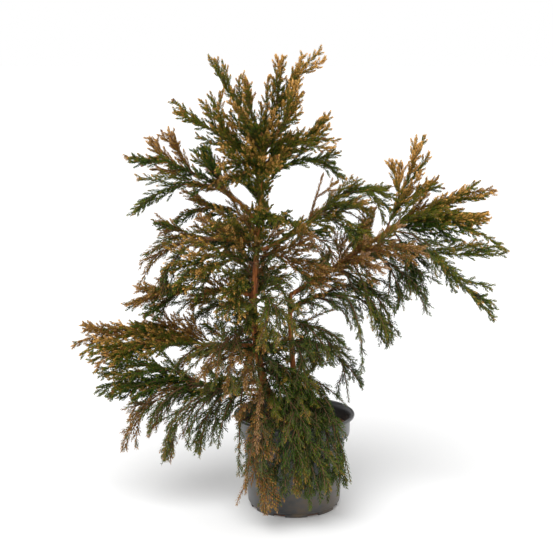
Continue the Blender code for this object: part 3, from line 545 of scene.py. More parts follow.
def sprouts(name, limb, start, end, habit, spacing, length, fork, tint, tone, seed, rise=0.0):
    """Small shoots straight off a stretch of a limb, which join the mass that hides it."""
    axis = LIMBS[limb]
    chance = random.Random(seed)
    reach = axis.length * (end - start)
    count = int(reach / spacing)
    roll = chance.uniform(0, 360)
    grown = []
    for k in range(count):
        f = start + (end - start) * (k + chance.uniform(*WITHIN_STEP)) / count
        for attempt in range(TRIES):
            roll = roll + GOLDEN_ANGLE + chance.uniform(-ROLL_PLAY, ROLL_PLAY)
            direction = turned(axis.along(f), fork * chance.uniform(*VARIED), roll)
            direction = unit(direction + np.array((0, 0, rise)))
            points = shoot_points(axis.at(f), direction, length * chance.uniform(*SPROUT_SIZES), habit.curl)
            if in_open_sky(points) or in_pot_or_ground(points):
                continue
            shoot = Shoot(points, SPROUT_RADIUS, SHOOT_TIP, habit, LEADER_BARE, tint,
                          tone + chance.gauss(0, SPROUT_TONE_PLAY))
            grown += clothed(shoot, chance)
            break
    SHOOTS[name] += grown


def clothe_limb(name, limb, start, end, tint, tone):
    """Needles pressed to a limb that is still green."""
    axis = LIMBS[limb]
    f = np.linspace(start, end, CLOTHING_STEPS)
    foot = axis.radius(start) * CLOTHED_RADIUS
    tip = axis.radius(end) * CLOTHED_RADIUS
    SHOOTS[name].append(Shoot(axis.at(f), foot, tip, CLOTHING, 0.0, tint, tone))


def grow_crown_top():
    """The shoots round the trunk's tip: upright plumes with golden points."""
    foliage("crown_leader", "trunk", 0.765, PLUME, bearing=21, rise=57, reach=0.227, arch=0.015, bow=-0.009,
            sprays=((0.26, 34, 53, 0.126),), tint="golden", tone=0.5, seed=9)
    foliage("crown_middle", "trunk", 0.757, PLUME, bearing=227, rise=67, reach=0.161, arch=-0.007,
            tint="golden", tone=0.42, seed=22)
    clothe_limb("crown_middle", "trunk", 0.6, 1.0, "olive", 0.4)
    foliage("crown_middle", "trunk", 0.757, WAND, bearing=286, rise=79, reach=0.147, tint="golden",
            tone=0.46, seed=16)
    sprouts("crown_middle", "trunk", 0.62, 0.86, PLUME, spacing=0.008, length=0.03, fork=30, tint="olive",
            tone=0.38, seed=21)
    sprouts("crown_middle", "trunk", 0.86, 0.99, PLUME, spacing=0.009, length=0.065, fork=45, tint="olive",
            tone=0.34, seed=14)
    foliage("crown_left_leader", "trunk", 0.737, PLUME, bearing=163, rise=60, reach=0.234, bow=0.007,
            tint="olive", tone=0.45, seed=13)
    foliage("crown_left", "trunk", 0.716, PLUME, bearing=185, rise=37, reach=0.229,
            sprays=((0.36, 34, 108, 0.114),), tint="olive", tone=0.45, seed=19)
    foliage("crown_left", "trunk", 0.65, PLUME, bearing=205, rise=58, reach=0.085, tint="olive", tone=0.4,
            seed=9)
    foliage("crown_right_fan", "trunk", 0.747, PLUME, bearing=314, rise=49, reach=0.161,
            sprays=((0.46, 34, 125, 0.092),), tint="golden", tone=0.48, seed=19)
    foliage("crown_right", "trunk", 0.722, PLUME, bearing=346, rise=19, reach=0.163, arch=0.021,
            sprays=((0.5, 34, 135, 0.086),), tint="golden", tone=0.44, seed=7)
    foliage("crown_arch", "trunk", 0.668, SPRAY, bearing=11, rise=7, reach=0.177, arch=0.054,
            sprays=((0.62, 34, 70, 0.055),), tint="olive", tone=0.35, seed=5)
    foliage("crown_front", "trunk", 0.7, PLUME, bearing=235, rise=12, reach=0.147, arch=0.021,
            sprays=((0.2, 40, -83, 0.097), (0.2, 60, -170, 0.112)), tint="golden", tone=0.46, seed=5)
    sprouts("crown_front", "trunk", 0.88, 0.99, PLUME, spacing=0.011, length=0.085, fork=55, tint="green",
            tone=0.45, seed=5)
    foliage("crown_back", "trunk", 0.735, PLUME, bearing=113, rise=29, reach=0.154, arch=0.01,
            sprays=((0.2, 45, -18, 0.121),), tint="olive", tone=0.3, seed=5)


def grow_left_upper():
    """The tiers on the left, from the highest down to the third."""
    foliage("left_high", "left_high_bough", 1.0, PLUME, bearing=183, rise=17, reach=0.185, arch=0.015,
            sprays=((0.24, 34, 88, 0.098), (0.52, 34, 86, 0.057)), tint="bronze", tone=0.55, seed=1)
    clothe_limb("left_high", "left_high_bough", 0.0, 1.0, "bronze", 0.42)
    sprouts("left_high", "left_high_bough", 0.35, 1.0, SPRAY, spacing=0.014, length=0.055, fork=36,
            tint="bronze", tone=0.42, seed=3)
    foliage("left_high_droop", "left_high_bough", 0.9, SPRAY, bearing=186, rise=-18, reach=0.185,
            arch=0.029, tint="olive", tone=0.42, seed=19)
    foliage("left_high_green", "left_high_bough", 0.72, PLUME, bearing=208, rise=52, reach=0.115,
            bow=-0.016, sprays=((0.29, 36, 47, 0.075),), tint="green", tone=0.4, seed=11)
    foliage("left_second_top", "trunk", 0.588, SPRAY, bearing=158, rise=3, reach=0.195, arch=0.037,
            bow=0.018, sprays=((0.6, 34, 101, 0.045),), tint="bronze", tone=0.47, seed=25)
    foliage("left_second", "left_second_bough", 1.0, SPRAY, bearing=180, rise=24, reach=0.126, arch=-0.012,
            sprays=((0.47, 34, -17, 0.057),), tint="bronze", tone=0.5, seed=10)
    clothe_limb("left_second", "left_second_bough", 0.0, 1.0, "bronze", 0.4)
    sprouts("left_second", "left_second_bough", 0.2, 1.0, SPRAY, spacing=0.014, length=0.06, fork=40,
            tint="bronze", tone=0.41, seed=23)
    foliage("left_second_low", "left_second_bough", 0.74, WEEP, bearing=193, rise=-15, reach=0.18,
            arch=0.014, sprays=((0.32, 39, -109, 0.143),), tint="bronze", tone=0.53, seed=6)
    foliage("left_second_low", "left_second_bough", 1.0, FROND, bearing=198, rise=-33, reach=0.19,
            arch=0.035, tint="russet", tone=0.54, seed=7)
    foliage("left_second_front", "trunk", 0.518, SPRAY, bearing=205, rise=2, reach=0.202, arch=0.021,
            bow=-0.013, sprays=((0.54, 34, -96, 0.094), (0.26, 38, -99, 0.13)), tint="golden", tone=0.46,
            seed=15)
    foliage("left_second_front", "trunk", 0.56, SPRAY, bearing=227, rise=24, reach=0.143, arch=0.01,
            tint="golden", tone=0.46, seed=16)
    foliage("left_third", "left_third_bough", 1.0, SPRAY, bearing=168, rise=-12, reach=0.147, arch=0.018,
            sprays=((0.43, 34, 84, 0.046), (0.12, 34, -150, 0.15), (0.25, 50, -140, 0.11)), tint="bronze",
            tone=0.51, seed=4)
    clothe_limb("left_third", "left_third_bough", 0.2, 1.0, "bronze", 0.38)
    sprouts("left_third", "left_third_bough", 0.2, 1.0, SPRAY, spacing=0.013, length=0.065, fork=40,
            tint="bronze", tone=0.39, seed=24)


def grow_left_lower():
    """The long and the low tier on the left, and the curtain under them."""
    foliage("left_long", "left_long_bough", 1.0, PLUME, bearing=182, rise=0, reach=0.279, arch=0.037,
            sprays=((0.69, 33, 43, 0.065),), tint="bronze", tone=0.5, seed=16)
    clothe_limb("left_long", "left_long_bough", 0.2, 1.0, "bronze", 0.38)
    foliage("left_long", "left_long_bough", 0.95, PLUME, bearing=172, rise=12, reach=0.17, arch=0.02,
            tint="bronze", tone=0.47, seed=22)
    foliage("left_long", "left_long_bough", 1.0, PLUME, bearing=194, rise=-2, reach=0.245, arch=0.02,
            tint="olive", tone=0.5, seed=13)
    foliage("left_long", "left_long_bough", 1.0, WAND, bearing=188, rise=-3, reach=0.262, arch=0.035,
            tint="olive", tone=0.54, seed=24)
    sprouts("left_long", "left_long_bough", 0.2, 1.0, SPRAY, spacing=0.013, length=0.07, fork=40,
            tint="bronze", tone=0.39, seed=25)
    foliage("left_long_low", "left_long_bough", 0.88, PLUME, bearing=190, rise=-6, reach=0.257, arch=0.022,
            bow=-0.007, sprays=((0.6, 30, -165, 0.06),), tint="olive", tone=0.51, seed=1)
    foliage("left_long_low", "left_long_bough", 1.0, WAND, bearing=198, rise=-7, reach=0.235, arch=0.03,
            tint="bronze", tone=0.54, seed=2)
    foliage("left_long_low", "left_long_bough", 1.0, FROND, bearing=220, rise=-29, reach=0.105, arch=0.012,
            tint="dusky", tone=0.48, seed=28)
    foliage("left_low", "left_low_bough", 1.0, SPRAY, bearing=193, rise=10, reach=0.224, arch=0.025,
            sprays=((0.41, 34, -84, 0.138),), tint="green", tone=0.59, seed=9)
    clothe_limb("left_low", "left_low_bough", 0.3, 1.0, "green", 0.4)
    foliage("left_low", "left_low_bough", 0.92, SPRAY, bearing=180, rise=-6, reach=0.205, arch=0.022,
            sprays=((0.35, 34, -80, 0.09),), tint="green", tone=0.52, seed=18)
    foliage("left_low", "left_low_bough", 1.0, PLUME, bearing=195, rise=-6, reach=0.195, arch=0.02,
            tint="green", tone=0.52, seed=17)
    sprouts("left_low", "left_low_bough", 0.2, 1.0, SPRAY, spacing=0.013, length=0.075, fork=38,
            tint="green", tone=0.46, seed=19)
    foliage("left_low_droop", "left_low_bough", 0.88, WEEP, bearing=196, rise=-35, reach=0.217, arch=0.041,
            sprays=((0.52, 35, 108, 0.062),), tint="russet", tone=0.59, seed=17)
    foliage("left_low_droop", "left_low_bough", 0.7, WEEP, bearing=200, rise=-25, reach=0.17, arch=0.03,
            tint="dusky", tone=0.52, seed=25)
    foliage("left_low_droop", "left_low_bough", 1.0, FROND, bearing=201, rise=-37, reach=0.217, arch=0.045,
            tint="russet", tone=0.56, seed=1)
    foliage("left_low_droop", "left_low_bough", 1.0, FROND, bearing=218, rise=-32, reach=0.155, arch=0.03,
            tint="green", tone=0.5, seed=5)
    foliage("curtain_left", "curtain_bough", 1.0, WEEP, bearing=185, rise=-50, reach=0.195, arch=0.031,
            sprays=((0.6, 30, -138, 0.08),), tint="russet", tone=0.56, seed=1)
    clothe_limb("curtain_left", "curtain_bough", 0.4, 1.0, "dusky", 0.4)
    foliage("curtain_left", "curtain_bough", 1.0, FROND, bearing=204, rise=-44, reach=0.183, arch=0.04,
            tint="dusky", tone=0.54, seed=23)
    foliage("curtain_left", "curtain_bough", 0.95, FROND, bearing=221, rise=-48, reach=0.147, arch=0.03,
            tint="green", tone=0.52, seed=19)
    sprouts("curtain_left", "curtain_bough", 0.2, 1.0, WEEP, spacing=0.014, length=0.07, fork=44, rise=-0.3,
            tint="dusky", tone=0.44, seed=20)
    foliage("curtain_right", "curtain_bough", 0.82, WEEP, bearing=182, rise=-61, reach=0.152, arch=0.016,
            sprays=((0.45, 34, -150, 0.085),), tint="dusky", tone=0.56, seed=16)
    foliage("curtain_right", "curtain_bough", 0.6, FROND, bearing=244, rise=-48, reach=0.136, arch=0.02,
            tint="green", tone=0.5, seed=9)
    foliage("curtain_right", "curtain_bough", 0.5, FROND, bearing=267, rise=-59, reach=0.182, arch=0.03,
            tint="dusky", tone=0.5, seed=10)


def grow_right_upper():
    """The arching bough and the upright and outer ends of the long limb."""
    foliage("arch_top", "arch_bough", 1.0, SPRAY, bearing=9, rise=-13, reach=0.136, arch=0.062,
            sprays=((0.33, 35, 57, 0.035), (0.55, 35, 110, 0.056)), tint="olive", tone=0.45, seed=16)
    clothe_limb("arch_top", "arch_bough", 0.1, 1.0, "olive", 0.38)
    foliage("arch_top", "arch_bough", 0.9, SPRAY, bearing=345, rise=6, reach=0.115, arch=0.02, tint="olive",
            tone=0.5, seed=2)
    sprouts("arch_top", "arch_bough", 0.3, 1.0, SPRAY, spacing=0.014, length=0.055, fork=38, tint="olive",
            tone=0.41, seed=19)
    foliage("arch_upright", "arch_bough", 0.76, PLUME, bearing=338, rise=73, reach=0.102,
            sprays=((0.52, 34, -99, 0.053),), tint="russet", tone=0.55, seed=9)
    foliage("arch_under", "arch_bough", 0.88, WEEP, bearing=346, rise=-22, reach=0.131, arch=0.037,
            sprays=((0.62, 47, -52, 0.062),), tint="dusky", tone=0.47, seed=19)
    foliage("arch_under", "arch_bough", 0.55, WEEP, bearing=345, rise=-38, reach=0.12, arch=0.02,
            tint="russet", tone=0.45, seed=11)
    foliage("arch_under", "arch_bough", 0.92, SPRAY, bearing=320, rise=-25, reach=0.13, arch=0.025,
            tint="olive", tone=0.47, seed=5)
    foliage("right_upright", "right_main_bough", 0.92, PLUME, bearing=7, rise=68, reach=0.21,
            sprays=((0.35, 34, 120, 0.076), (0.24, 34, -61, 0.104)), tint="golden", tone=0.45, seed=4)
    foliage("right_outer", "right_main_bough", 1.0, PLUME, bearing=8, rise=17, reach=0.222, arch=0.008,
            sprays=((0.27, 34, -44, 0.139), (0.43, 34, -125, 0.119)), tint="golden", tone=0.49, seed=15)
    clothe_limb("right_outer", "right_main_bough", 0.05, 0.62, "olive", 0.38)
    foliage("right_outer", "right_main_bough", 0.96, PLUME, bearing=350, rise=-2, reach=0.15, arch=0.01,
            sprays=((0.3, 34, 60, 0.08),), tint="green", tone=0.5, seed=13)
    foliage("right_outer", "right_main_bough", 0.9, SPRAY, bearing=335, rise=22, reach=0.15, arch=0.01,
            tint="olive", tone=0.5, seed=6)
    foliage("right_outer", "right_main_bough", 1.0, WAND, bearing=8, rise=18, reach=0.226, arch=0.018,
            tint="bronze", tone=0.5, seed=1)
    foliage("right_outer", "right_main_bough", 1.0, WAND, bearing=353, rise=8, reach=0.187, arch=0.01,
            tint="olive", tone=0.52, seed=16)


def grow_right_lower():
    """What hangs from the long limb and from the second stem on the right."""
    foliage("right_lower", "right_main_bough", 0.84, SPRAY, bearing=2, rise=-7, reach=0.27, arch=-0.015,
            bow=0.014, sprays=((0.34, 34, -102, 0.22),), tint="olive", tone=0.43, seed=3)
    foliage("right_lower", "right_main_bough", 1.0, WAND, bearing=357, rise=-12, reach=0.235, arch=0.03,
            tint="olive", tone=0.5, seed=13)
    foliage("right_under", "right_main_bough", 0.66, WEEP, bearing=343, rise=-41, reach=0.19, arch=0.027,
            sprays=((0.31, 39, -76, 0.102),), tint="green", tone=0.46, seed=18)
    foliage("right_under", "right_main_bough", 0.8, WEEP, bearing=350, rise=-48, reach=0.14, arch=0.02,
            tint="green", tone=0.48, seed=16)
    foliage("right_under", "right_main_bough", 0.92, WEEP, bearing=335, rise=-30, reach=0.15, arch=0.03,
            tint="dusky", tone=0.5, seed=3)
    foliage("right_under", "right_main_bough", 0.97, WEEP, bearing=352, rise=-62, reach=0.16, arch=0.01,
            sprays=((0.3, 34, -60, 0.1),), tint="green", tone=0.5, seed=10)
    foliage("right_under", "right_main_bough", 0.42, WEEP, bearing=336, rise=-53, reach=0.195, arch=0.025,
            tint="green", tone=0.5, seed=9)
    foliage("right_under", "right_main_bough", 0.55, FROND, bearing=310, rise=-63, reach=0.157, arch=0.02,
            tint="olive", tone=0.5, seed=3)
    foliage("right_front", "right_main_bough", 0.34, SPRAY, bearing=320, rise=14, reach=0.256, arch=0.033,
            sprays=((0.22, 39, -58, 0.119),), tint="russet", tone=0.58, seed=20)
    sprouts("right_front", "right_main_bough", 0.1, 0.8, SPRAY, spacing=0.013, length=0.075, fork=42,
            tint="russet", tone=0.44, seed=5)
    foliage("low_right", "right_low_bough", 1.0, WEEP, bearing=348, rise=-49, reach=0.141, arch=0.03,
            sprays=((0.24, 34, -106, 0.103),), tint="green", tone=0.46, seed=15)
    clothe_limb("low_right", "right_low_bough", 0.0, 1.0, "green", 0.38)
    foliage("low_right", "right_low_bough", 0.62, WEEP, bearing=345, rise=5, reach=0.11, arch=0.02,
            tint="green", tone=0.46, seed=3)
    foliage("low_right", "right_main_bough", 0.42, WEEP, bearing=352, rise=-46, reach=0.17, arch=0.02,
            tint="dusky", tone=0.48, seed=20)
    foliage("low_right", "right_low_bough", 0.95, FROND, bearing=296, rise=-47, reach=0.111, arch=0.02,
            tint="dusky", tone=0.5, seed=14)
    foliage("low_right", "right_low_bough", 0.5, FROND, bearing=337, rise=-37, reach=0.1, arch=0.015,
            tint="green", tone=0.46, seed=4)
    foliage("low_right", "right_low_bough", 1.0, FROND, bearing=313, rise=-74, reach=0.168, arch=0.02,
            tint="green", tone=0.5, seed=20)
    sprouts("low_right", "right_low_bough", 0.1, 1.0, WEEP, spacing=0.014, length=0.07, fork=40, rise=-0.2,
            tint="green", tone=0.42, seed=10)
    foliage("low_middle", "second_stem", 0.72, WEEP, bearing=345, rise=-14, reach=0.12, arch=0.02,
            sprays=((0.3, 40, -90, 0.085),), tint="dusky", tone=0.48, seed=15)
    foliage("low_middle", "second_stem", 0.8, WEEP, bearing=309, rise=-30, reach=0.151, arch=0.025,
            tint="green", tone=0.5, seed=19)
    sprouts("low_middle", "second_stem", 0.12, 1.0, WEEP, spacing=0.014, length=0.08, fork=58, tint="dusky",
            tone=0.42, seed=23)
    foliage("back_right", "back_right_bough", 1.0, WEEP, bearing=12, rise=-47, reach=0.146, arch=0.013,
            sprays=((0.41, 38, -78, 0.094),), tint="green", tone=0.46, seed=22)
    clothe_limb("back_right", "back_right_bough", 0.0, 1.0, "green", 0.38)
    sprouts("back_right", "back_right_bough", 0.1, 1.0, WEEP, spacing=0.014, length=0.07, fork=40,
            rise=-0.2, tint="green", tone=0.4, seed=16)
    foliage("foot_right", "second_stem", 0.37, WEEP, bearing=336, rise=-25, reach=0.132, arch=0.018,
            bow=0.011, tint="green", tone=0.43, seed=5)


def grow_front():
    """The inner foliage that covers the trunk."""
    foliage("low_reach", "trunk", 0.236, WEEP, bearing=166, rise=-36, reach=0.176, arch=0.042,
            sprays=((0.62, 34, -60, 0.06),), tint="green", tone=0.48, seed=11)
    foliage("low_reach", "trunk", 0.36, FROND, bearing=200, rise=-23, reach=0.178, arch=0.02, tint="dusky",
            tone=0.48, seed=29)
    foliage("low_reach", "trunk", 0.33, FROND, bearing=212, rise=-16, reach=0.15, arch=0.02, tint="russet",
            tone=0.48, seed=30)
    foliage("centre_left", "trunk", 0.385, WEEP, bearing=237, rise=-17, reach=0.208, arch=0.021,
            sprays=((0.25, 37, -119, 0.165),), tint="russet", tone=0.53, seed=9)
    foliage("centre_left", "trunk", 0.465, SPRAY, bearing=248, rise=4, reach=0.15, arch=0.02,
            sprays=((0.35, 40, -90, 0.11),), tint="golden", tone=0.46, seed=25)
    foliage("centre_front", "trunk", 0.43, WEEP, bearing=272, rise=-9, reach=0.239, arch=0.054, bow=-0.029,
            sprays=((0.43, 34, -137, 0.113),), tint="golden", tone=0.48, seed=20)
    foliage("centre_front", "trunk", 0.33, WEEP, bearing=262, rise=-12, reach=0.17, arch=0.03,
            sprays=((0.4, 38, -100, 0.09),), tint="rose", tone=0.48, seed=1)
    foliage("centre_front", "second_stem", 0.62, WEEP, bearing=280, rise=-20, reach=0.17, arch=0.035,
            sprays=((0.4, 38, -100, 0.09),), tint="dusky", tone=0.48, seed=14)
    foliage("centre_front", "trunk", 0.3, WEEP, bearing=300, rise=-5, reach=0.15, arch=0.03,
            sprays=((0.35, 40, -60, 0.11), (0.45, 36, -130, 0.1)), tint="green", tone=0.46, seed=23)
    foliage("centre_front", "trunk", 0.425, SPRAY, bearing=262, rise=-22, reach=0.095, arch=0.012,
            tint="golden", tone=0.5, seed=39)
    foliage("centre_front", "trunk", 0.385, SPRAY, bearing=284, rise=-18, reach=0.095, arch=0.012,
            tint="bronze", tone=0.46, seed=40)
    foliage("centre_front", "trunk", 0.345, WEEP, bearing=256, rise=-28, reach=0.12, arch=0.02,
            tint="green", tone=0.44, seed=38)
    sprouts("centre_front", "trunk", 0.16, 0.6, WEEP, spacing=0.013, length=0.085, fork=62, rise=-0.1,
            tint="dusky", tone=0.42, seed=16)
    foliage("centre_right", "trunk", 0.535, SPRAY, bearing=334, rise=-6, reach=0.17, arch=0.01,
            sprays=((0.35, 34, -95, 0.11), (0.3, 36, 60, 0.11)), tint="russet", tone=0.48, seed=22)
    foliage("centre_right", "trunk", 0.6, SPRAY, bearing=285, rise=8, reach=0.135, arch=0.018, tint="olive",
            tone=0.42, seed=14)
    sprouts("centre_right", "trunk", 0.4, 0.72, SPRAY, spacing=0.014, length=0.08, fork=58, tint="russet",
            tone=0.42, seed=10)


def grow_skirt():
    """The skirt that hangs over the pot."""
    foliage("skirt_left", "trunk", 0.262, WEEP, bearing=272, rise=-57, reach=0.275, arch=0.106, bow=0.024,
            sprays=((0.52, 35, 132, 0.05), (0.68, 38, -111, 0.105)), tint="russet", tone=0.49, seed=22)
    foliage("skirt_left", "trunk", 0.245, FROND, bearing=253, rise=-44, reach=0.184, arch=0.045,
            tint="green", tone=0.48, seed=21)
    foliage("skirt_left", "trunk", 0.26, FROND, bearing=266, rise=-24, reach=0.212, arch=0.062, tint="rose",
            tone=0.64, seed=10)
    foliage("skirt_left", "trunk", 0.265, WEEP, bearing=269, rise=-58, reach=0.27, arch=0.09,
            sprays=((0.55, 30, -60, 0.09),), tint="russet", tone=0.46, seed=8)
    foliage("skirt_middle", "second_stem", 0.3, WEEP, bearing=275, rise=-33, reach=0.261, arch=0.085,
            bow=0.017, sprays=((0.76, 34, -98, 0.12), (0.62, 32, -140, 0.15)), tint="dusky", tone=0.56,
            seed=12)
    foliage("skirt_middle", "trunk", 0.3, WEEP, bearing=295, rise=-43, reach=0.26, arch=0.07,
            sprays=((0.6, 34, -120, 0.11),), tint="green", tone=0.5, seed=1)
    foliage("skirt_middle", "second_stem", 0.3, WEEP, bearing=278, rise=-48, reach=0.285, arch=0.085,
            sprays=((0.62, 34, -100, 0.11),), tint="green", tone=0.5, seed=17)
    foliage("skirt_middle", "second_stem", 0.35, FROND, bearing=270, rise=-45, reach=0.27, arch=0.085,
            tint="bronze", tone=0.56, seed=12)
    foliage("skirt_middle", "trunk", 0.27, WEEP, bearing=284, rise=-51, reach=0.255, arch=0.085,
            sprays=((0.66, 34, -70, 0.09),), tint="green", tone=0.5, seed=31)
    foliage("skirt_right", "second_stem", 0.24, WEEP, bearing=303, rise=-36, reach=0.245, arch=0.075,
            bow=0.02, sprays=((0.8, 34, -110, 0.1),), tint="green", tone=0.51, seed=13)
    foliage("skirt_right", "second_stem", 0.3, WEEP, bearing=292, rise=-49, reach=0.265, arch=0.085,
            sprays=((0.6, 34, -120, 0.11),), tint="green", tone=0.5, seed=24)
    foliage("skirt_right", "second_stem", 0.36, FROND, bearing=307, rise=-46, reach=0.225, arch=0.06,
            tint="green", tone=0.52, seed=21)


def grow_back():
    """The side away from the photo."""
    foliage("back_high", "trunk", 0.588, SPRAY, bearing=65, rise=-4, reach=0.19, arch=0.015,
            sprays=((0.35, 40, 175, 0.11),), tint="olive", tone=0.38, seed=22)
    foliage("back_high", "trunk", 0.64, SPRAY, bearing=95, rise=8, reach=0.15, arch=0.02, tint="olive",
            tone=0.4, seed=32)
    foliage("back_middle", "trunk", 0.5, SPRAY, bearing=108, rise=4, reach=0.26, arch=0.03,
            sprays=((0.35, 40, 170, 0.13), (0.45, 38, 5, 0.12)), tint="olive", tone=0.38, seed=5)
    foliage("back_middle", "trunk", 0.44, SPRAY, bearing=80, rise=2, reach=0.19, arch=0.025,
            sprays=((0.4, 38, 175, 0.09),), tint="olive", tone=0.4, seed=33)
    foliage("back_middle", "trunk", 0.54, SPRAY, bearing=130, rise=6, reach=0.15, arch=0.02, tint="green",
            tone=0.4, seed=34)
    foliage("back_low_left", "trunk", 0.395, WEEP, bearing=126, rise=-8, reach=0.25, arch=0.03,
            sprays=((0.35, 38, 175, 0.13),), tint="green", tone=0.4, seed=3)
    foliage("back_low_left", "trunk", 0.36, WEEP, bearing=100, rise=-10, reach=0.18, arch=0.03,
            tint="green", tone=0.42, seed=35)
    foliage("back_foot", "trunk", 0.3, WEEP, bearing=88, rise=-14, reach=0.23, arch=0.04,
            sprays=((0.4, 38, 178, 0.11), (0.45, 36, 0, 0.11)), tint="green", tone=0.4, seed=15)
    foliage("back_foot", "second_stem", 0.5, WEEP, bearing=70, rise=-18, reach=0.17, arch=0.03,
            tint="dusky", tone=0.42, seed=17)


# Which masses are joined into one piece
ZONES = {
    "crown": ("crown_leader", "crown_middle", "crown_left_leader", "crown_left", "crown_right_fan",
              "crown_right", "crown_arch", "crown_front", "crown_back"),
    "left_upper": ("left_high", "left_high_droop", "left_high_green", "left_second_top", "left_second",
                   "left_second_low", "left_second_front", "left_third"),
    "left_lower": ("left_long", "left_long_low", "left_low", "left_low_droop", "curtain_left",
                   "curtain_right"),
    "right_upper": ("arch_top", "arch_upright", "arch_under", "right_upright", "right_outer"),
    "right_lower": ("right_lower", "right_under", "right_front", "low_right", "low_middle", "back_right",
                    "foot_right"),
    "front": ("low_reach", "centre_left", "centre_front", "centre_right"),
    "skirt": ("skirt_left", "skirt_middle", "skirt_right"),
    "back": ("back_high", "back_middle", "back_low_left", "back_foot"),
}


# Needles: a root, the two edges and the keel at the widest part, and a point; two faces to each half, the
# root half in painted shade one colour darker
NEEDLE_FACES = ((0, 1, 3), (0, 3, 2), (1, 4, 3), (2, 3, 4))
NEEDLE_CORNERS = 5
NEEDLE_LOOPS = np.array(NEEDLE_FACES).ravel()
NEEDLE_STARTS = np.arange(len(NEEDLE_FACES)) * 3


def across(tangents):
    """Two unit directions square to each tangent."""
    side = np.cross(tangents, (0.0, 0.0, 1.0))
    side[np.linalg.norm(side, axis=1) < NEARLY_UPRIGHT] = (1.0, 0.0, 0.0)
    side /= np.linalg.norm(side, axis=1)[:, None]
    up = np.cross(side, tangents)
    return side, up / np.linalg.norm(up, axis=1)[:, None]


def needles_of(shoot, chance):
    """Corners and shades of a shoot's needles, each root half in painted shade one colour darker: keeled awls
    that bend in at the point, wound up the shoot.
    """
    habit = shoot.habit
    count = int(shoot.path.length * (1 - shoot.bare) / habit.step)
    if count < FEWEST_NEEDLES:
        return np.zeros((0, NEEDLE_CORNERS, 3)), np.zeros((0, 2), int)
    f = shoot.bare + (1 - shoot.bare) * (np.arange(count) + 0.5) / count
    along = shoot.path.along(f)
    side, up = across(along)
    play = chance.uniform(-NEEDLE_ROLL_PLAY, NEEDLE_ROLL_PLAY, count)
    angle = np.radians(GOLDEN_ANGLE * np.arange(count) + play)[:, None]
    radial = side * np.cos(angle) + up * np.sin(angle)
    lateral = np.cross(along, radial)
    from_tip = np.clip((1 - f) * shoot.path.length / TIP_STRETCH, 0.0, 1.0)
    length = habit.needle * (TIP_NEEDLE + (1 - TIP_NEEDLE) * from_tip)
    length = (length * chance.uniform(*NEEDLE_SIZES, count))[:, None]
    spread = habit.spread * (TIP_SPREAD + (1 - TIP_SPREAD) * from_tip)
    spread = np.radians(spread + chance.normal(0, NEEDLE_SPREAD_PLAY, count))[:, None]
    base = shoot.path.at(f) + radial * (shoot.path.radius(f) * NEEDLE_SEAT)[:, None]
    out = along * np.cos(spread + NEEDLE_FLARE) + radial * np.sin(spread + NEEDLE_FLARE)
    over = along * np.cos(spread - NEEDLE_CURVE) + radial * np.sin(spread - NEEDLE_CURVE)
    middle = base + out * length * WIDEST_AT
    tip = middle + over * length * (1 - WIDEST_AT)
    half = lateral * (habit.width / 2)
    keel = np.cross(lateral, out) * (habit.width * KEEL)
    corners = np.stack((base, middle + half, middle - half, middle + keel, tip), axis=1)
    tone = shoot.tone - NEEDLE_SHADE + habit.gilded * f ** 3 + chance.normal(0, NEEDLE_TONE_PLAY, count)
    run = np.array([SHADES.index(s) for s in TINTS[shoot.tint]])
    shade = np.clip((tone * len(run)).astype(int), 0, len(run) - 1)
    # The root half takes the next darker colour of the run: painted shade where the needles crowd round the
    # shoot
    return corners, np.stack((run[np.maximum(shade - 1, 0)], run[shade]), axis=1)


def new_mesh(name, corners, loops, starts, slots, materials):
    """An object from arrays: corner points, the corners of all faces in a row, and where each face starts."""
    mesh = bpy.data.meshes.new(name)
    mesh.vertices.add(len(corners))
    mesh.vertices.foreach_set("co", np.asarray(corners, np.float32).ravel())
    mesh.loops.add(len(loops))
    mesh.loops.foreach_set("vertex_index", np.asarray(loops, np.int32))
    mesh.polygons.add(len(starts))
    mesh.polygons.foreach_set("loop_start", np.asarray(starts, np.int32))
    mesh.polygons.foreach_set("material_index", np.asarray(slots, np.int32))
    mesh.update(calc_edges=True)
    for material in materials:
        mesh.materials.append(material)
    piece = bpy.data.objects.new(name, mesh)
    bpy.context.scene.collection.objects.link(piece)
    return piece


def make_needles(zone, shoots, materials):
    """All the needles of a part of the crown in one mesh, each in two colours: its own at the point, and
    painted shade one colour darker at the root.
    """
    chance = np.random.default_rng(len(zone) * 7 + 1)
    grown = [needles_of(shoot, chance) for shoot in shoots]
    corners = np.concatenate([g[0] for g in grown])
    shades = np.concatenate([g[1] for g in grown])
    count = len(corners)
    loops = (NEEDLE_LOOPS[None, :] + NEEDLE_CORNERS * np.arange(count)[:, None]).ravel()
    starts = (NEEDLE_STARTS[None, :] + len(NEEDLE_LOOPS) * np.arange(count)[:, None]).ravel()
    slots = np.repeat(shades, len(NEEDLE_FACES) // 2, axis=1).ravel()
    return new_mesh(zone + "_needles", corners.reshape(-1, 3), loops, starts, slots, materials)


def tube(path, sides, rings, shaped=None):
    """Corners of rings round a path and the four-cornered faces between them."""
    f = np.linspace(0, 1, rings + 1)
    side, up = across(path.along(f))
    angle = np.linspace(0, 2 * np.pi, sides, endpoint=False)
    radius = np.repeat(path.radius(f)[:, None], sides, axis=1)
    if shaped is not None:
        radius = shaped(radius, f[:, None], angle[None, :])
    out = side[:, None, :] * np.cos(angle)[None, :, None] + up[:, None, :] * np.sin(angle)[None, :, None]
    corners = path.at(f)[:, None, :] + out * radius[:, :, None]
    k = np.arange(sides)
    first = np.arange(rings)[:, None] * sides
    faces = np.stack((first + k, first + (k + 1) % sides, first + sides + (k + 1) % sides,
                      first + sides + k), axis=2)
    return corners.reshape(-1, 3), faces.reshape(-1, 4)


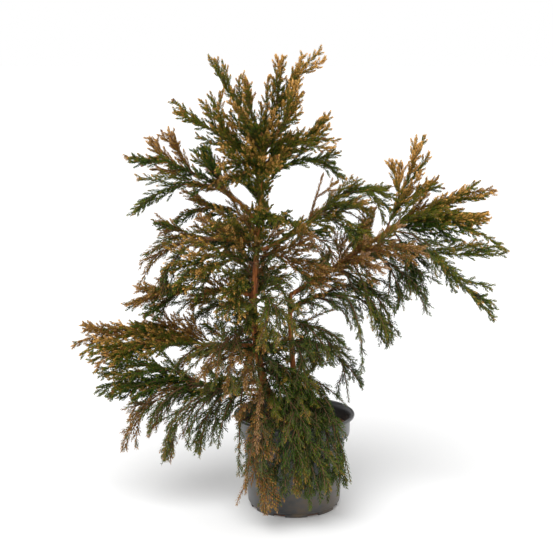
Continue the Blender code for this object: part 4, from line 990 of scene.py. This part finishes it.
def make_twigs(zone, shoots, materials):
    """The woody cores of a zone's shoots, brown where they are old and green where they are young."""
    corners, faces, slots = [], [], []
    total = 0
    for shoot in shoots:
        if shoot.habit is CLOTHING:
            continue
        thick = shoot.path.foot > THICK_TWIG
        c, q = tube(shoot.path, sides=5, rings=8) if thick else tube(shoot.path, sides=3, rings=1)
        corners.append(c)
        faces.append(q + total)
        slots.append(np.full(len(q), 0 if thick else 1))
        total += len(c)
    quads = np.concatenate(faces)
    starts = np.arange(len(quads)) * 4
    return new_mesh(zone + "_twigs", np.concatenate(corners), quads.ravel(), starts, np.concatenate(slots),
                    materials)


# Bark
def fibrous(chance, length):
    """Long shallow strips of bark that run up a limb and fray a little."""
    shift = chance.uniform(0, 2 * np.pi, 6)

    def shaped(radius, f, angle):
        s = f * length
        strips = 0.045 * np.sin(7 * angle + 1.5 * np.sin(s / 0.021 + shift[0]) + shift[1])
        strips = strips + 0.035 * np.sin(12 * angle - 1.2 * np.sin(s / 0.013 + shift[2]) + shift[3])
        knots = 0.05 * np.sin(s / 0.009 + 2 * np.sin(angle + shift[4]) + shift[5])
        return radius * (1 + strips + knots * 0.6)

    return shaped


def make_bark(material):
    """Trunk, second stem and boughs as one mesh with the bark's relief, flared above the compost."""
    chance = np.random.default_rng(3)
    corners, faces = [], []
    total = 0
    for name, limb in LIMBS.items():
        stem = name in ("trunk", "second_stem")
        flare = {"trunk": ROOT_FLARE, "second_stem": STEM_FLARE}.get(name, 0.0)
        points = limb.points if stem else np.concatenate(([limb.seat], limb.points))
        if stem:
            points = np.concatenate(([points[0] - (0, 0, BURIED)], points))
        path = Path(points, limb.foot, limb.tip)
        relief = fibrous(chance, path.length)

        def shaped(radius, f, angle):
            spread = flare * np.exp(-np.maximum(f * path.length - BURIED, 0) / ROOT_FLARE_HEIGHT)
            lobes = 1 + 0.35 * np.sin(4 * angle + 1.0)
            return relief(radius + spread * lobes, f, angle)

        c, q = tube(path, STEM_SIDES if stem else BOUGH_SIDES, int(path.length / BARK_STEP), shaped)
        corners.append(c)
        faces.append(q + total)
        total += len(c)
    quads = np.concatenate(faces)
    starts = np.arange(len(quads)) * 4
    piece = new_mesh("bark_limbs", np.concatenate(corners), quads.ravel(), starts, np.zeros(len(quads), int),
                     [material])
    piece.data.shade_smooth()
    return piece


# Finishes
class Value:
    """A shader socket that sums can be written with."""

    def __init__(self, finish, socket):
        self.finish = finish
        self.socket = socket

    def worked(self, operation, a, b):
        return self.finish.node("ShaderNodeMath", {"operation": operation}, {0: a, 1: b})

    def __add__(self, other):
        return self.worked("ADD", self, other)

    def __radd__(self, other):
        return self.worked("ADD", other, self)

    def __sub__(self, other):
        return self.worked("SUBTRACT", self, other)

    def __rsub__(self, other):
        return self.worked("SUBTRACT", other, self)

    def __mul__(self, other):
        return self.worked("MULTIPLY", self, other)

    def __rmul__(self, other):
        return self.worked("MULTIPLY", other, self)


class Finish:
    """A material, and the few ways its nodes are made."""

    def __init__(self, name, colour=(0.5, 0.5, 0.5), roughness=0.6, **others):
        self.material = bpy.data.materials.new(name)
        self.material.use_nodes = True
        self.tree = self.material.node_tree
        self.surface = self.tree.nodes["Principled BSDF"]
        self.set("Base Color", (*colour, 1.0))
        self.set("Roughness", roughness)
        self.material.diffuse_color = (*colour, 1.0)
        for socket, value in others.items():
            self.set(socket.replace("_", " "), value)

    def put(self, socket, value):
        if isinstance(value, Value):
            self.tree.links.new(value.socket, socket)
        elif isinstance(value, tuple) and len(value) == 3 and len(socket.default_value) == 4:
            socket.default_value = (*value, 1.0)
        else:
            socket.default_value = value

    def set(self, name, value):
        self.put(self.surface.inputs[name], value)

    def node(self, kind, settings=None, values=None, output=0):
        made = self.tree.nodes.new(kind)
        for name, value in (settings or {}).items():
            if name == "stops":
                while len(made.color_ramp.elements) < len(value):
                    made.color_ramp.elements.new(0.5)
                for element, (place, colour) in zip(made.color_ramp.elements, value):
                    element.position = place
                    element.color = (*colour, 1.0)
            else:
                setattr(made, name, value)
        for name, value in (values or {}).items():
            self.put(made.inputs[name], value)
        return Value(self, made.outputs[output])

    def place(self, stretch=(1, 1, 1)):
        spot = self.node("ShaderNodeTexCoord", output="Object")
        return self.node("ShaderNodeMapping", values={"Vector": spot, "Scale": stretch})

    def height(self):
        spot = self.node("ShaderNodeTexCoord", output="Object")
        return self.node("ShaderNodeSeparateXYZ", values={0: spot}, output=2)

    def noise(self, scale, detail=4.0, roughness=0.55, stretch=(1, 1, 1), output=0):
        values = {"Vector": self.place(stretch), "Scale": scale, "Detail": detail, "Roughness": roughness}
        return self.node("ShaderNodeTexNoise", values=values, output=output)

    def ramp(self, value, stops):
        return self.node("ShaderNodeValToRGB", {"stops": stops}, {0: value})

    def between(self, value, low, high):
        """0 below low, 1 above high, eased between them."""
        return self.node("ShaderNodeMapRange", {"interpolation_type": "SMOOTHSTEP"},
                         {"Value": value, "From Min": low, "From Max": high})

    def mix(self, factor, a, b):
        return self.node("ShaderNodeMix", {"data_type": "RGBA"}, {0: factor, 6: a, 7: b}, output=2)

    def bump(self, height, depth, strength=1.0):
        self.set("Normal", self.node("ShaderNodeBump", {}, {"Height": height, "Distance": depth,
                                                            "Strength": strength}))


def needle_finishes():
    """One plain finish for each needle colour."""
    return [Finish(name + "_needles", colour, 0.55, Specular_IOR_Level=0.15).material
            for name, colour in COLOURS.items()]


def twig_finishes():
    return [Finish("old_twig", (0.140, 0.062, 0.030), 0.85).material,
            Finish("young_twig", (0.110, 0.085, 0.034), 0.80).material]


def bark_finish():
    """Red-brown bark in long strips, greyed in patches."""
    bark = Finish("red_bark", (0.30, 0.12, 0.055), 0.85)
    strips = bark.noise(60, 6, 0.6, stretch=(3.0, 3.0, 0.35))
    flakes = bark.noise(240, 3, 0.6, stretch=(2.0, 2.0, 0.5))
    patch = bark.noise(14, 3, 0.5)
    colour = bark.ramp(strips, [(0.30, (0.050, 0.018, 0.007)), (0.44, (0.230, 0.068, 0.015)),
                                (0.58, (0.430, 0.138, 0.028)), (0.78, (0.600, 0.270, 0.090))])
    greyed = bark.mix(bark.between(patch, 0.54, 0.74) * 0.35, colour, (0.160, 0.105, 0.060))
    bark.set("Base Color", greyed)
    bark.set("Roughness", 0.95 - strips * 0.25)
    bark.bump(strips * 0.7 + flakes * 0.3, 0.0012)
    return bark.material


# Pot
def outer_wall():
    """Outer profile of the pot from the middle of its underside to the lip, as radius and height."""
    return [
        (0.0, 0.0),
        (FOOT_RADIUS - 0.0010, 0.0),
        (FOOT_RADIUS, 0.0010),
        (FOOT_RADIUS, FOOT_HEIGHT - 0.0008),
        (FOOT_RADIUS + 0.0010, FOOT_HEIGHT + 0.0008),
        (WALL_FOOT_RADIUS - 0.0008, FOOT_HEIGHT + 0.0024),
        (WALL_FOOT_RADIUS, FOOT_HEIGHT + 0.0040),
        (WALL_TOP_RADIUS, WALL_TOP - 0.0010),
        (WALL_TOP_RADIUS + 0.0012, WALL_TOP + 0.0012),
        (WALL_TOP_RADIUS + 0.0075, WALL_TOP + 0.0036),
        (WALL_TOP_RADIUS + 0.0100, WALL_TOP + 0.0060),
        (COLLAR_RADIUS, COLLAR_BOTTOM + 0.0010),
        (COLLAR_RADIUS + 0.0005, POT_HEIGHT - 0.0125),
        (COLLAR_RADIUS + 0.0020, POT_HEIGHT - 0.0095),
        (RIM_RADIUS - 0.0030, POT_HEIGHT - 0.0060),
        (RIM_RADIUS - 0.0006, POT_HEIGHT - 0.0045),
        (RIM_RADIUS, POT_HEIGHT - 0.0028),
        (RIM_RADIUS - 0.0005, POT_HEIGHT - 0.0008),
        (RIM_RADIUS - 0.0018, POT_HEIGHT),
    ]


def inner_wall():
    """Inner profile of the pot from the lip down to the middle of its floor."""
    return [
        (RIM_RADIUS - 0.0070, POT_HEIGHT - 0.0008),
        (RIM_RADIUS - 0.0085, POT_HEIGHT - 0.0030),
        (COLLAR_RADIUS + 0.0005 - SHELL, POT_HEIGHT - 0.0110),
        (COLLAR_RADIUS - SHELL, COLLAR_BOTTOM + 0.0010),
        (WALL_TOP_RADIUS + 0.0080 - SHELL, WALL_TOP + 0.0058),
        (WALL_TOP_RADIUS - SHELL, WALL_TOP + 0.0015),
        (WALL_FOOT_RADIUS - SHELL, FOOT_HEIGHT + 0.0050),
        (FOOT_RADIUS - SHELL, FOOT_HEIGHT + 0.0020),
        (FOOT_RADIUS - SHELL, FLOOR_THICKNESS),
        (0.0, FLOOR_THICKNESS),
    ]


def turned_piece(name, profile, sides):
    """Spins a profile that runs up the outside and back down the inside into a closed round piece."""
    bm = bmesh.new()
    rings = []
    for radius, z in profile:
        if radius == 0.0:
            rings.append([bm.verts.new((0, 0, z))])
            continue
        ring = []
        for k in range(sides):
            a = 2 * math.pi * k / sides
            ring.append(bm.verts.new((radius * math.cos(a), radius * math.sin(a), z)))
        rings.append(ring)
    for a, b in zip(rings, rings[1:]):
        for k in range(sides):
            j = (k + 1) % sides
            corners = [a[k % len(a)], a[j % len(a)], b[j % len(b)], b[k % len(b)]]
            bm.faces.new(list(dict.fromkeys(corners)))
    bmesh.ops.recalc_face_normals(bm, faces=bm.faces)
    mesh = bpy.data.meshes.new(name)
    bm.to_mesh(mesh)
    bm.free()
    piece = bpy.data.objects.new(name, mesh)
    bpy.context.scene.collection.objects.link(piece)
    return piece


def turned_about_z(angle):
    c = math.cos(angle)
    s = math.sin(angle)
    return np.array(((c, -s, 0), (s, c, 0), (0, 0, 1)))


def cut_drains(pot):
    """Notches round the foot that let water out."""
    bm = bmesh.new()
    for k in range(DRAIN_NOTCHES):
        bearing = math.radians(DRAIN_BEARING + 360.0 * k / DRAIN_NOTCHES)
        block = bmesh.ops.create_cube(bm, size=1.0)["verts"]
        size = (DRAIN_DEPTH + 2 * DRAIN_OVERSHOOT, DRAIN_WIDTH, DRAIN_HEIGHT + DRAIN_OVERSHOOT)
        bmesh.ops.scale(bm, vec=size, verts=block)
        reach = FOOT_RADIUS - DRAIN_DEPTH / 2 + DRAIN_OVERSHOOT
        bmesh.ops.translate(bm, vec=(reach, 0, (DRAIN_HEIGHT - DRAIN_OVERSHOOT) / 2), verts=block)
        turn = turned_about_z(bearing)
        for v in block:
            v.co = turn @ np.array(v.co)
    mesh = bpy.data.meshes.new("drain_blocks")
    bm.to_mesh(mesh)
    bm.free()
    blocks = bpy.data.objects.new("drain_blocks", mesh)
    bpy.context.scene.collection.objects.link(blocks)
    cut = pot.modifiers.new("Drains", "BOOLEAN")
    cut.operation = "DIFFERENCE"
    cut.object = blocks
    seen = pot.evaluated_get(bpy.context.evaluated_depsgraph_get())
    pot.data = bpy.data.meshes.new_from_object(seen)
    pot.modifiers.clear()
    bpy.data.objects.remove(blocks, do_unlink=True)


def plastic_finish():
    """Black plastic that has greyed: grained, scuffed in long strokes, dusty toward the foot."""
    plastic = Finish("black_plastic", (0.030, 0.031, 0.034), 0.40, IOR=1.62, Coat_Weight=0.35,
                     Coat_Roughness=0.30)
    grain = plastic.noise(900, 2, 0.5)
    scuffs = plastic.noise(34, 5, 0.62, stretch=(1, 1, 2.6))
    worn = plastic.between(plastic.noise(7, 3, 0.55), 0.40, 0.66)
    dust = plastic.noise(11, 5, 0.62)
    low = 1 - plastic.between(plastic.height(), 0.010, 0.110)
    greyed = plastic.mix(worn * 0.75 + scuffs * 0.25, (0.010, 0.010, 0.010), (0.044, 0.045, 0.046))
    dusty = plastic.between(dust * 0.6 + scuffs * 0.4, 0.44, 0.62) * (0.06 + low * 0.75)
    colour = plastic.mix(dusty, greyed, (0.120, 0.082, 0.044))
    plastic.set("Base Color", colour)
    plastic.set("Roughness", 0.30 + scuffs * 0.14 + dusty * 0.42)
    plastic.bump(grain * 0.4 + scuffs * 0.6, 0.0002, 0.5)
    return plastic.material


def make_pot():
    pot = turned_piece("nursery_pot", outer_wall() + inner_wall(), POT_SIDES)
    cut_drains(pot)
    pot.data.materials.clear()
    pot.data.materials.append(plastic_finish())
    pot.data.shade_smooth()
    pot.data.set_sharp_from_angle(angle=math.radians(POT_EDGE_ANGLE))
    return pot


# Compost
def compost_finish(name, dark, light):
    """Crumbs of two colours, dull and lumpy."""
    finish = Finish(name, light, 0.95)
    lumps = finish.noise(180, 5, 0.65)
    finish.set("Base Color", finish.mix(finish.between(lumps, 0.35, 0.65), dark, light))
    finish.set("Roughness", 0.98 - lumps * 0.15)
    finish.bump(lumps, 0.0015)
    return finish.material


def make_compost():
    """The compost's body inside the pot, its top lumpy and a little lower at the edge."""
    inside = SHELL + SOIL_GAP
    body = [
        (0.0, FLOOR_THICKNESS + SOIL_GAP),
        (FOOT_RADIUS - inside, FLOOR_THICKNESS + SOIL_GAP),
        (FOOT_RADIUS - inside, FOOT_HEIGHT + 0.0020 + SOIL_GAP),
        (WALL_FOOT_RADIUS - inside, FOOT_HEIGHT + 0.0050 + SOIL_GAP),
        (WALL_TOP_RADIUS - inside, WALL_TOP + 0.0015 + SOIL_GAP),
        (WALL_TOP_RADIUS + 0.0080 - inside, WALL_TOP + 0.0058 + SOIL_GAP),
        (COLLAR_RADIUS - inside, COLLAR_BOTTOM + 0.0020 + SOIL_GAP),
    ]
    top = []
    for k in range(SOIL_RINGS + 1):
        out = 1 - k / SOIL_RINGS
        top.append(((COLLAR_RADIUS - inside) * out, SOIL_LEVEL - SOIL_EDGE_DROP * out ** 2))
    bed = turned_piece("compost_bed", body + top, SOIL_SIDES)
    chance = random.Random(5)
    waves = []
    for k in range(SOIL_WAVES):
        rate = chance.uniform(*SOIL_WAVE_RATES)
        heading = chance.uniform(0, 2 * math.pi)
        waves.append((rate, heading, chance.uniform(0, 6.28)))
    for v in bed.data.vertices:
        if v.co.z > SOIL_LEVEL - SOIL_EDGE_DROP - SOIL_WAVE_HEIGHT:
            lift = 0.0
            for rate, heading, start in waves:
                along = v.co.x * math.cos(heading) + v.co.y * math.sin(heading)
                lift += math.sin(rate * along + start) / (1 + rate / SOIL_FINE_RATE)
            v.co.z += SOIL_WAVE_HEIGHT * lift
    bed.data.materials.append(compost_finish("compost", (0.050, 0.025, 0.014), (0.300, 0.140, 0.070)))
    bed.data.shade_smooth()
    return bed


def make_chips():
    """Chips of bark that lie on the compost."""
    chance = np.random.default_rng(11)
    corners, faces, slots = [], [], []
    box = np.array([(x, y, z) for z in (-1, 1) for y in (-1, 1) for x in (-1, 1)], float)
    box_faces = np.array(((0, 2, 3, 1), (4, 5, 7, 6), (0, 1, 5, 4), (2, 6, 7, 3), (0, 4, 6, 2), (1, 3, 7, 5)))
    shares = [share for share, colour in CHIP_TONES.values()]
    for k in range(CHIPS):
        out = CHIPS_RADIUS * math.sqrt(chance.uniform(0, 1))
        a = chance.uniform(0, 2 * math.pi)
        half = np.array((chance.uniform(*CHIP_HALF_LENGTH), chance.uniform(*CHIP_HALF_WIDTH),
                         chance.uniform(*CHIP_HALF_HEIGHT)))
        chip = box * half * chance.uniform(*CHIP_WEAR, box.shape)
        turn = turned_about_z(chance.uniform(0, 2 * math.pi))
        tilt = chance.normal(0, CHIP_TILT)
        c = math.cos(tilt)
        s = math.sin(tilt)
        lean = np.array(((c, 0, s), (0, 1, 0), (-s, 0, c)))
        level = SOIL_LEVEL - SOIL_EDGE_DROP * (out / SOIL_RADIUS) ** 2 + CHIP_LIFT
        spot = (out * math.cos(a), out * math.sin(a), level)
        corners.append(chip @ lean.T @ turn.T + spot)
        faces.append(box_faces + len(box) * k)
        slots.append(np.full(len(box_faces), chance.choice(len(shares), p=shares)))
    quads = np.concatenate(faces)
    materials = [Finish(name, colour, 0.9).material for name, (share, colour) in CHIP_TONES.items()]
    return new_mesh("bark_chips", np.concatenate(corners), quads.ravel(), np.arange(len(quads)) * 4,
                    np.concatenate(slots), materials)


# Studio
CAMERA_PLACE = (-0.0372, -2.65, 0.98)
CAMERA_PITCH = 10.45
CAMERA_LENS = 84.7
ROOM_LIGHT = 0.70
LAMP_STRENGTH = 2.60
LAMP_SOFTNESS = 50
LAMP_TILT = (36, -12)
FLOOR_SIZE = 80


def make_camera():
    data = bpy.data.cameras.new("camera")
    data.lens = CAMERA_LENS
    data.sensor_width = 36.0
    camera = bpy.data.objects.new("camera", data)
    camera.location = CAMERA_PLACE
    camera.rotation_euler = (math.radians(90 - CAMERA_PITCH), 0, 0)
    bpy.context.scene.collection.objects.link(camera)
    bpy.context.scene.camera = camera


def make_studio():
    """A pale floor under one broad lamp, in a room that is white behind the plant and dimmer all round."""
    bpy.ops.mesh.primitive_plane_add(size=FLOOR_SIZE, location=(0, 0, 0))
    floor = bpy.context.object
    floor.name = "floor"
    pale = Finish("pale_floor", (0.90, 0.90, 0.90), 0.95, Specular_IOR_Level=0.0)
    floor.data.materials.append(pale.material)
    world = bpy.data.worlds.new("studio")
    world.use_nodes = True
    tree = world.node_tree
    behind = tree.nodes["Background"]
    behind.inputs["Color"].default_value = (1, 1, 1, 1)
    behind.inputs["Strength"].default_value = 1.0
    room = tree.nodes.new("ShaderNodeBackground")
    room.inputs["Color"].default_value = (1, 1, 1, 1)
    room.inputs["Strength"].default_value = ROOM_LIGHT
    rays = tree.nodes.new("ShaderNodeLightPath")
    mix = tree.nodes.new("ShaderNodeMixShader")
    tree.links.new(rays.outputs["Is Camera Ray"], mix.inputs[0])
    tree.links.new(room.outputs[0], mix.inputs[1])
    tree.links.new(behind.outputs[0], mix.inputs[2])
    tree.links.new(mix.outputs[0], tree.nodes["World Output"].inputs["Surface"])
    bpy.context.scene.world = world
    data = bpy.data.lights.new("broad_lamp", "SUN")
    data.energy = LAMP_STRENGTH
    data.angle = math.radians(LAMP_SOFTNESS)
    lamp = bpy.data.objects.new("broad_lamp", data)
    lamp.rotation_euler = (math.radians(LAMP_TILT[0]), math.radians(LAMP_TILT[1]), 0)
    bpy.context.scene.collection.objects.link(lamp)
    bpy.context.scene.view_settings.view_transform = "Standard"


def dress(pieces, nodes):
    """Lets pieces ride on the one body, in place of the solids that they show."""
    for piece in pieces:
        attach(piece, "root")
        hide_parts(*nodes)


make_camera()
make_limbs()
grow_crown_top()
grow_left_upper()
grow_left_lower()
grow_right_upper()
grow_right_lower()
grow_front()
grow_skirt()
grow_back()

needle_colours = needle_finishes()
twig_colours = twig_finishes()
for zone, masses in ZONES.items():
    shoots = [shoot for mass in masses for shoot in SHOOTS[mass]]
    needles = make_needles(zone, shoots, needle_colours)
    twigs = make_twigs(zone, shoots, twig_colours)
    dress((needles, twigs), masses)
dress([make_bark(bark_finish())], LIMBS)
dress([make_pot()], ["pot"])
dress([make_compost(), make_chips()], ["compost"])
make_studio()
